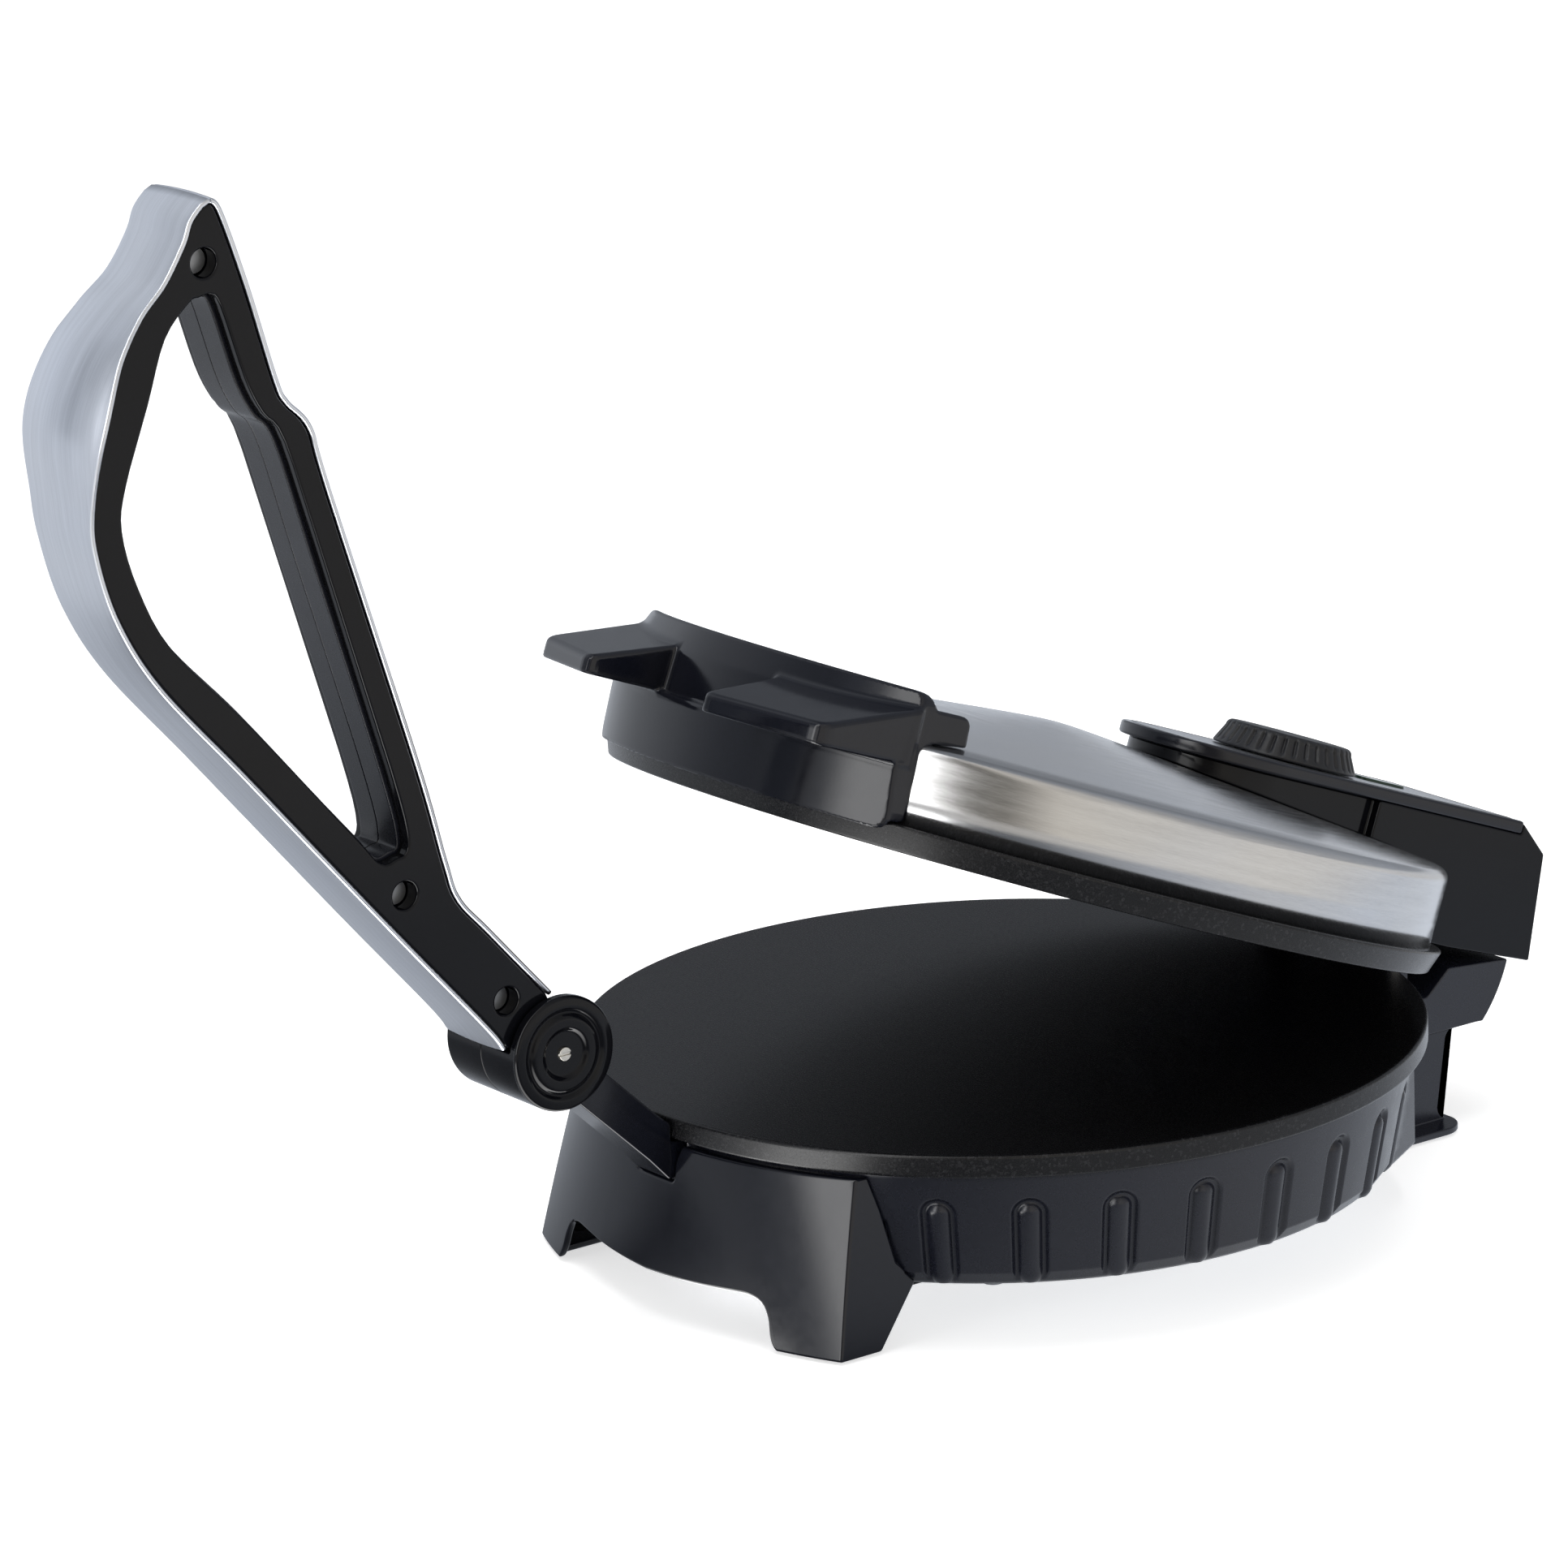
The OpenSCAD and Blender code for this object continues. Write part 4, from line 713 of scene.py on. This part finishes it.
# Cover and knob
COVER_R, COVER_EDGE_Z, COVER_PEAK_Z, COVER_FOOT = 124.5, 32.0, 45.0, 8.5
COVER_BROW, COVER_T, AXIS_R = 3.5, 0.8, 0.05


def cone_z(r):
    """Height of the cover's top at radius r."""
    return COVER_PEAK_Z - (COVER_PEAK_Z - COVER_EDGE_Z) * np.asarray(r) / (COVER_R - 1.5)


def cover():
    """The pressed cover: its outer profile runs up the wall, round a 3.5 mm shoulder and up the
    cone, which is smoothed over at the middle, and comes back 0.8 mm inside, all turned."""
    radii = np.concatenate([np.linspace(112, 14, 40), np.linspace(12, AXIS_R, 10)])
    top = cone_z(np.hypot(radii, 7.5) - 0.4)
    shoulder = arc((COVER_R - COVER_BROW, COVER_EDGE_Z - 3.4), COVER_BROW, 0, 80, 10)
    outer = np.vstack([[[COVER_R, COVER_FOOT], [COVER_R, 18]], shoulder, np.stack([radii, top], -1)])
    inner = outer + normals_of(outer) * COVER_T
    profile = np.vstack([outer, inner[::-1]])
    profile[:, 0] = np.maximum(profile[:, 0], AXIS_R)
    points, faces = lathe(profile, 256)
    new_piece("lid_cover_brushed", on_lid(points), [faces], "lid", COVER_STEEL,
              ["lid_cover"])


cover()

KNOB_Y, KNOB_Z, KNOB_R, KNOB_H, KNOB_RIBS, KNOB_GROOVE = 92.6, 49.4, 22.4, 8.0, 36, 0.9


def knob():
    """The knob: a turned profile whose wall is drawn in between its ribs by
    0.9 mm * (0.5 - 0.5 cos(36 a))^4, fading out at the rounded foot and top."""
    foot = arc((KNOB_R - 0.7, 0.7), 0.7, -90, 0, 5)
    wall = np.linspace((KNOB_R, 0.7), (KNOB_R - 2.6, KNOB_H - 2.2), 12)[1:]
    brow = arc((KNOB_R - 4.6, KNOB_H - 2.2), 2.0, 8, 84, 8)
    top_r, rise = np.linspace(KNOB_R - 5.2, AXIS_R, 14), np.linspace(1, 0, 14)
    top = np.stack([top_r, KNOB_H - 0.25 * rise ** 2 + 0.05], -1)
    profile = np.vstack([[[AXIS_R, 0], [KNOB_R - 4, 0]], foot, wall, brow, top])
    angle = np.linspace(0, 2 * np.pi, KNOB_RIBS * 14, endpoint=False)[:, None]
    r, z = profile[:, 0][None, :], profile[:, 1][None, :]
    fade = np.clip((z - 1.0) / 1.2, 0, 1) * np.clip((KNOB_H - 0.3 - z) / 1.6, 0, 1) * (r > KNOB_R - 6)
    r = r - KNOB_GROOVE * (0.5 - 0.5 * np.cos(KNOB_RIBS * angle)) ** 4 * fade
    points = np.stack([r * np.cos(angle), r * np.sin(angle) + KNOB_Y, z + KNOB_Z + 0 * angle], -1)
    new_piece("thermostat_knob_ribbed", on_lid(points), [grid_faces(*r.shape)], "knob", KNOB,
              ["thermostat_knob"])


knob()

# Studio
# Levels and warmth of what polished faces mirror, by compass direction in degrees from +X: a strong
# light in front, cool to its left and warm to its right, a white room behind and a dim front corner
NEAR_RING = [(-180, 0.60, -1), (-138, 0.45, -1), (-124, 0.14, -1), (-112, 0.40, -0.7),
             (-103, 1.0, -0.5), (-92, 2.2, 0), (-86, 6.0, 0), (-66, 6.0, 0), (-60, 0.3, 0),
             (-50, 0.16, -1), (-36, 0.22, -1), (-5, 0.55, -0.7), (25, 0.80, -0.5), (60, 0.85, -1),
             (90, 0.85, -1), (144, 0.70, -1), (180, 0.60, -1)]
FAR_RING = [(-180, 0.72, -0.8), (-140, 0.68, -0.8), (-110, 0.68, -0.7), (-80, 0.9, 0),
            (-50, 0.6, 0.5), (-5, 0.9, 0.5), (30, 0.92, 0.4), (60, 0.86, 0.2), (110, 0.72, -0.5),
            (144, 0.70, -1), (180, 0.72, -0.8)]
ROOM_RING = [(-180, 0.80, -0.8), (-150, 0.70, -0.8), (-132, 0.44, -1), (-120, 0.36, -1),
             (-106, 0.6, -1), (-96, 1.1, -0.5), (-88, 5.0, 0), (-76, 5.0, 0), (-66, 1.4, 0.3),
             (-57, 0.25, 1), (-45, 0.25, 1), (-32, 0.85, 1), (0, 0.85, 0.6), (30, 0.60, 0),
             (90, 0.45, -1), (144, 0.22, -1), (165, 0.5, -1), (180, 0.80, -0.8)]
# A ring's colours are levels over RING_TOP; high up the room is a little dimmer. The floor glows with its
# rings as painted light and painted shade, seen only by mirror rays, and turns from its near ring to its
# far one between NEAR_R and FAR_R, in metres
RING_TOP, ROOM_HIGH, NEAR_R, FAR_R = 7.2, 6.0, 0.38, 0.60
WARM_TINT = (0.06, 0.0, -0.10)
WHITE, PAPER_GLOW, ROOM_FILL = (1, 1, 1, 1), 0.63, 0.40


def ring_of(tree, space, stops):
    """A colour, its level over RING_TOP, that turns with the compass direction in the named
    coordinates. The first and the last stop are the ramp's own ends."""
    way = add(tree, "SeparateXYZ", {0: add(tree, "TexCoord").outputs[space]})
    compass = add(tree, "Math", {0: way.outputs[1], 1: way.outputs[0]}, operation="ARCTAN2")
    turn = add(tree, "MapRange", {0: compass.outputs[0], 1: -math.pi, 2: math.pi, 3: 0.0, 4: 1.0})
    ring = add(tree, "ValToRGB", {0: turn.outputs[0]})
    elements, ends = ring.color_ramp.elements, {-180: 0, 180: -1}
    for degrees, level, warmth in stops:
        stop = elements[ends[degrees]] if degrees in ends else elements.new((degrees + 180) / 360)
        stop.color = tuple(level / RING_TOP * (1 + warmth * tint) for tint in WARM_TINT) + (1,)
    return ring.outputs[0]


def by_ray(tree, mirrored, seen, lit):
    """What a ray meets: mirrored where it is glossy, seen where it comes from the camera or through
    glass, and lit where it only brings light."""
    path = add(tree, "LightPath").outputs
    eye = add(tree, "Math", {0: path["Is Camera Ray"], 1: path["Is Transmission Ray"]},
              operation="MAXIMUM")
    other = add(tree, "MixShader", {0: path["Is Glossy Ray"], 1: lit.outputs[0], 2: mirrored.outputs[0]})
    return add(tree, "MixShader", {0: eye.outputs[0], 1: other.outputs[0], 2: seen.outputs[0]}).outputs[0]


scene = bpy.context.scene
scene.view_settings.view_transform = "Standard"

EYE = np.array([1648.95, -1270.81, 660.75])
RIGHT = (0.59409, 0.80362, -0.03528)
UP = (-0.19761, 0.18832, 0.96202)
BACK = (0.77975, -0.56456, 0.27068)
camera_data = bpy.data.cameras.new("Camera")
camera_data.lens, camera_data.sensor_width = 167.70, 36
camera_data.clip_end = 50
camera = bpy.data.objects.new("Camera", camera_data)
scene.collection.objects.link(camera)
camera.matrix_world = placed(RIGHT, UP, BACK, on_base(EYE))
scene.camera = camera

floor_mesh = bpy.data.meshes.new("floor")
floor_mesh.from_pydata([(-20, -20, 0), (20, -20, 0), (20, 20, 0), (-20, 20, 0)], [], [(0, 1, 2, 3)])
floor = bpy.data.objects.new("floor", floor_mesh)
scene.collection.objects.link(floor)
paper = bpy.data.materials.new("white_paper_with_painted_glow")
paper.use_nodes = True
tree = paper.node_tree
tree.nodes.clear()
# Polished upright faces mirror the sheet round the object as a painted glow that is no lamp: bright
# strips and dark bands by compass direction, near and far from it, seen only by mirror rays
away = add(tree, "VectorMath", {0: add(tree, "TexCoord").outputs["Object"]}, operation="LENGTH")
far = add(tree, "MapRange", {0: away.outputs["Value"], 1: NEAR_R, 2: FAR_R, 3: 0.0, 4: 1.0},
          interpolation_type="SMOOTHSTEP")
rings = add(tree, "Mix", {0: far.outputs[0], 6: ring_of(tree, "Object", NEAR_RING),
                          7: ring_of(tree, "Object", FAR_RING)}, data_type="RGBA")
# Painted glow of the floor, no lamp: its bright strips stand in for softboxes and its dark bands are
# painted shade in what polished faces mirror
painted_floor_glow = add(tree, "Emission", {"Color": rings.outputs[2], "Strength": RING_TOP})
matt = add(tree, "BsdfDiffuse", {"Color": linear("#f4f4f4")})
glow = add(tree, "Emission", {"Color": WHITE, "Strength": PAPER_GLOW})
sheet = add(tree, "AddShader", {0: matt.outputs[0], 1: glow.outputs[0]})
add(tree, "OutputMaterial", {"Surface": by_ray(tree, painted_floor_glow, sheet, matt)})
floor_mesh.materials.append(paper)

world = bpy.data.worlds.new("studio")
scene.world = world
world.use_nodes = True
tree = world.node_tree
tree.nodes.clear()
way = add(tree, "SeparateXYZ", {0: add(tree, "TexCoord").outputs["Generated"]})
fall = add(tree, "MapRange", {0: way.outputs[2], 1: 0.2, 2: 0.6, 3: RING_TOP, 4: ROOM_HIGH},
           interpolation_type="SMOOTHSTEP")
room = add(tree, "Background", {"Color": ring_of(tree, "Generated", ROOM_RING),
                                "Strength": fall.outputs[0]})
backdrop = add(tree, "Background", {"Color": WHITE, "Strength": 1.0})
fill = add(tree, "Background", {"Color": WHITE, "Strength": ROOM_FILL})
add(tree, "OutputWorld", {"Surface": by_ray(tree, room, backdrop, fill)})


def softbox(name, place, aim, size, power):
    """A rectangular area lamp at place, in metres, facing aim, left out of mirror images."""
    data = bpy.data.lights.new(name, "AREA")
    data.shape, data.size, data.size_y, data.energy = "RECTANGLE", size[0], size[1], power
    lamp = bpy.data.objects.new(name, data)
    scene.collection.objects.link(lamp)
    back = np.array(place, float) - np.array(aim, float)
    back /= np.linalg.norm(back)
    right = np.cross([0, 0, 1], back)
    right /= np.linalg.norm(right)
    lamp.matrix_world = placed(right, np.cross(back, right), back, place)
    lamp.visible_glossy = False


softbox("overhead", (-0.2, 0.1, 2.2), (0, 0, 0.1), (1.6, 1.6), 24)
softbox("front", (-0.1, -2.5, 0.62), (0, 0, 0.1), (1.3, 1.15), 12)
softbox("right", (2.2, 0.9, 0.7), (0, 0, 0.1), (0.5, 0.8), 12)
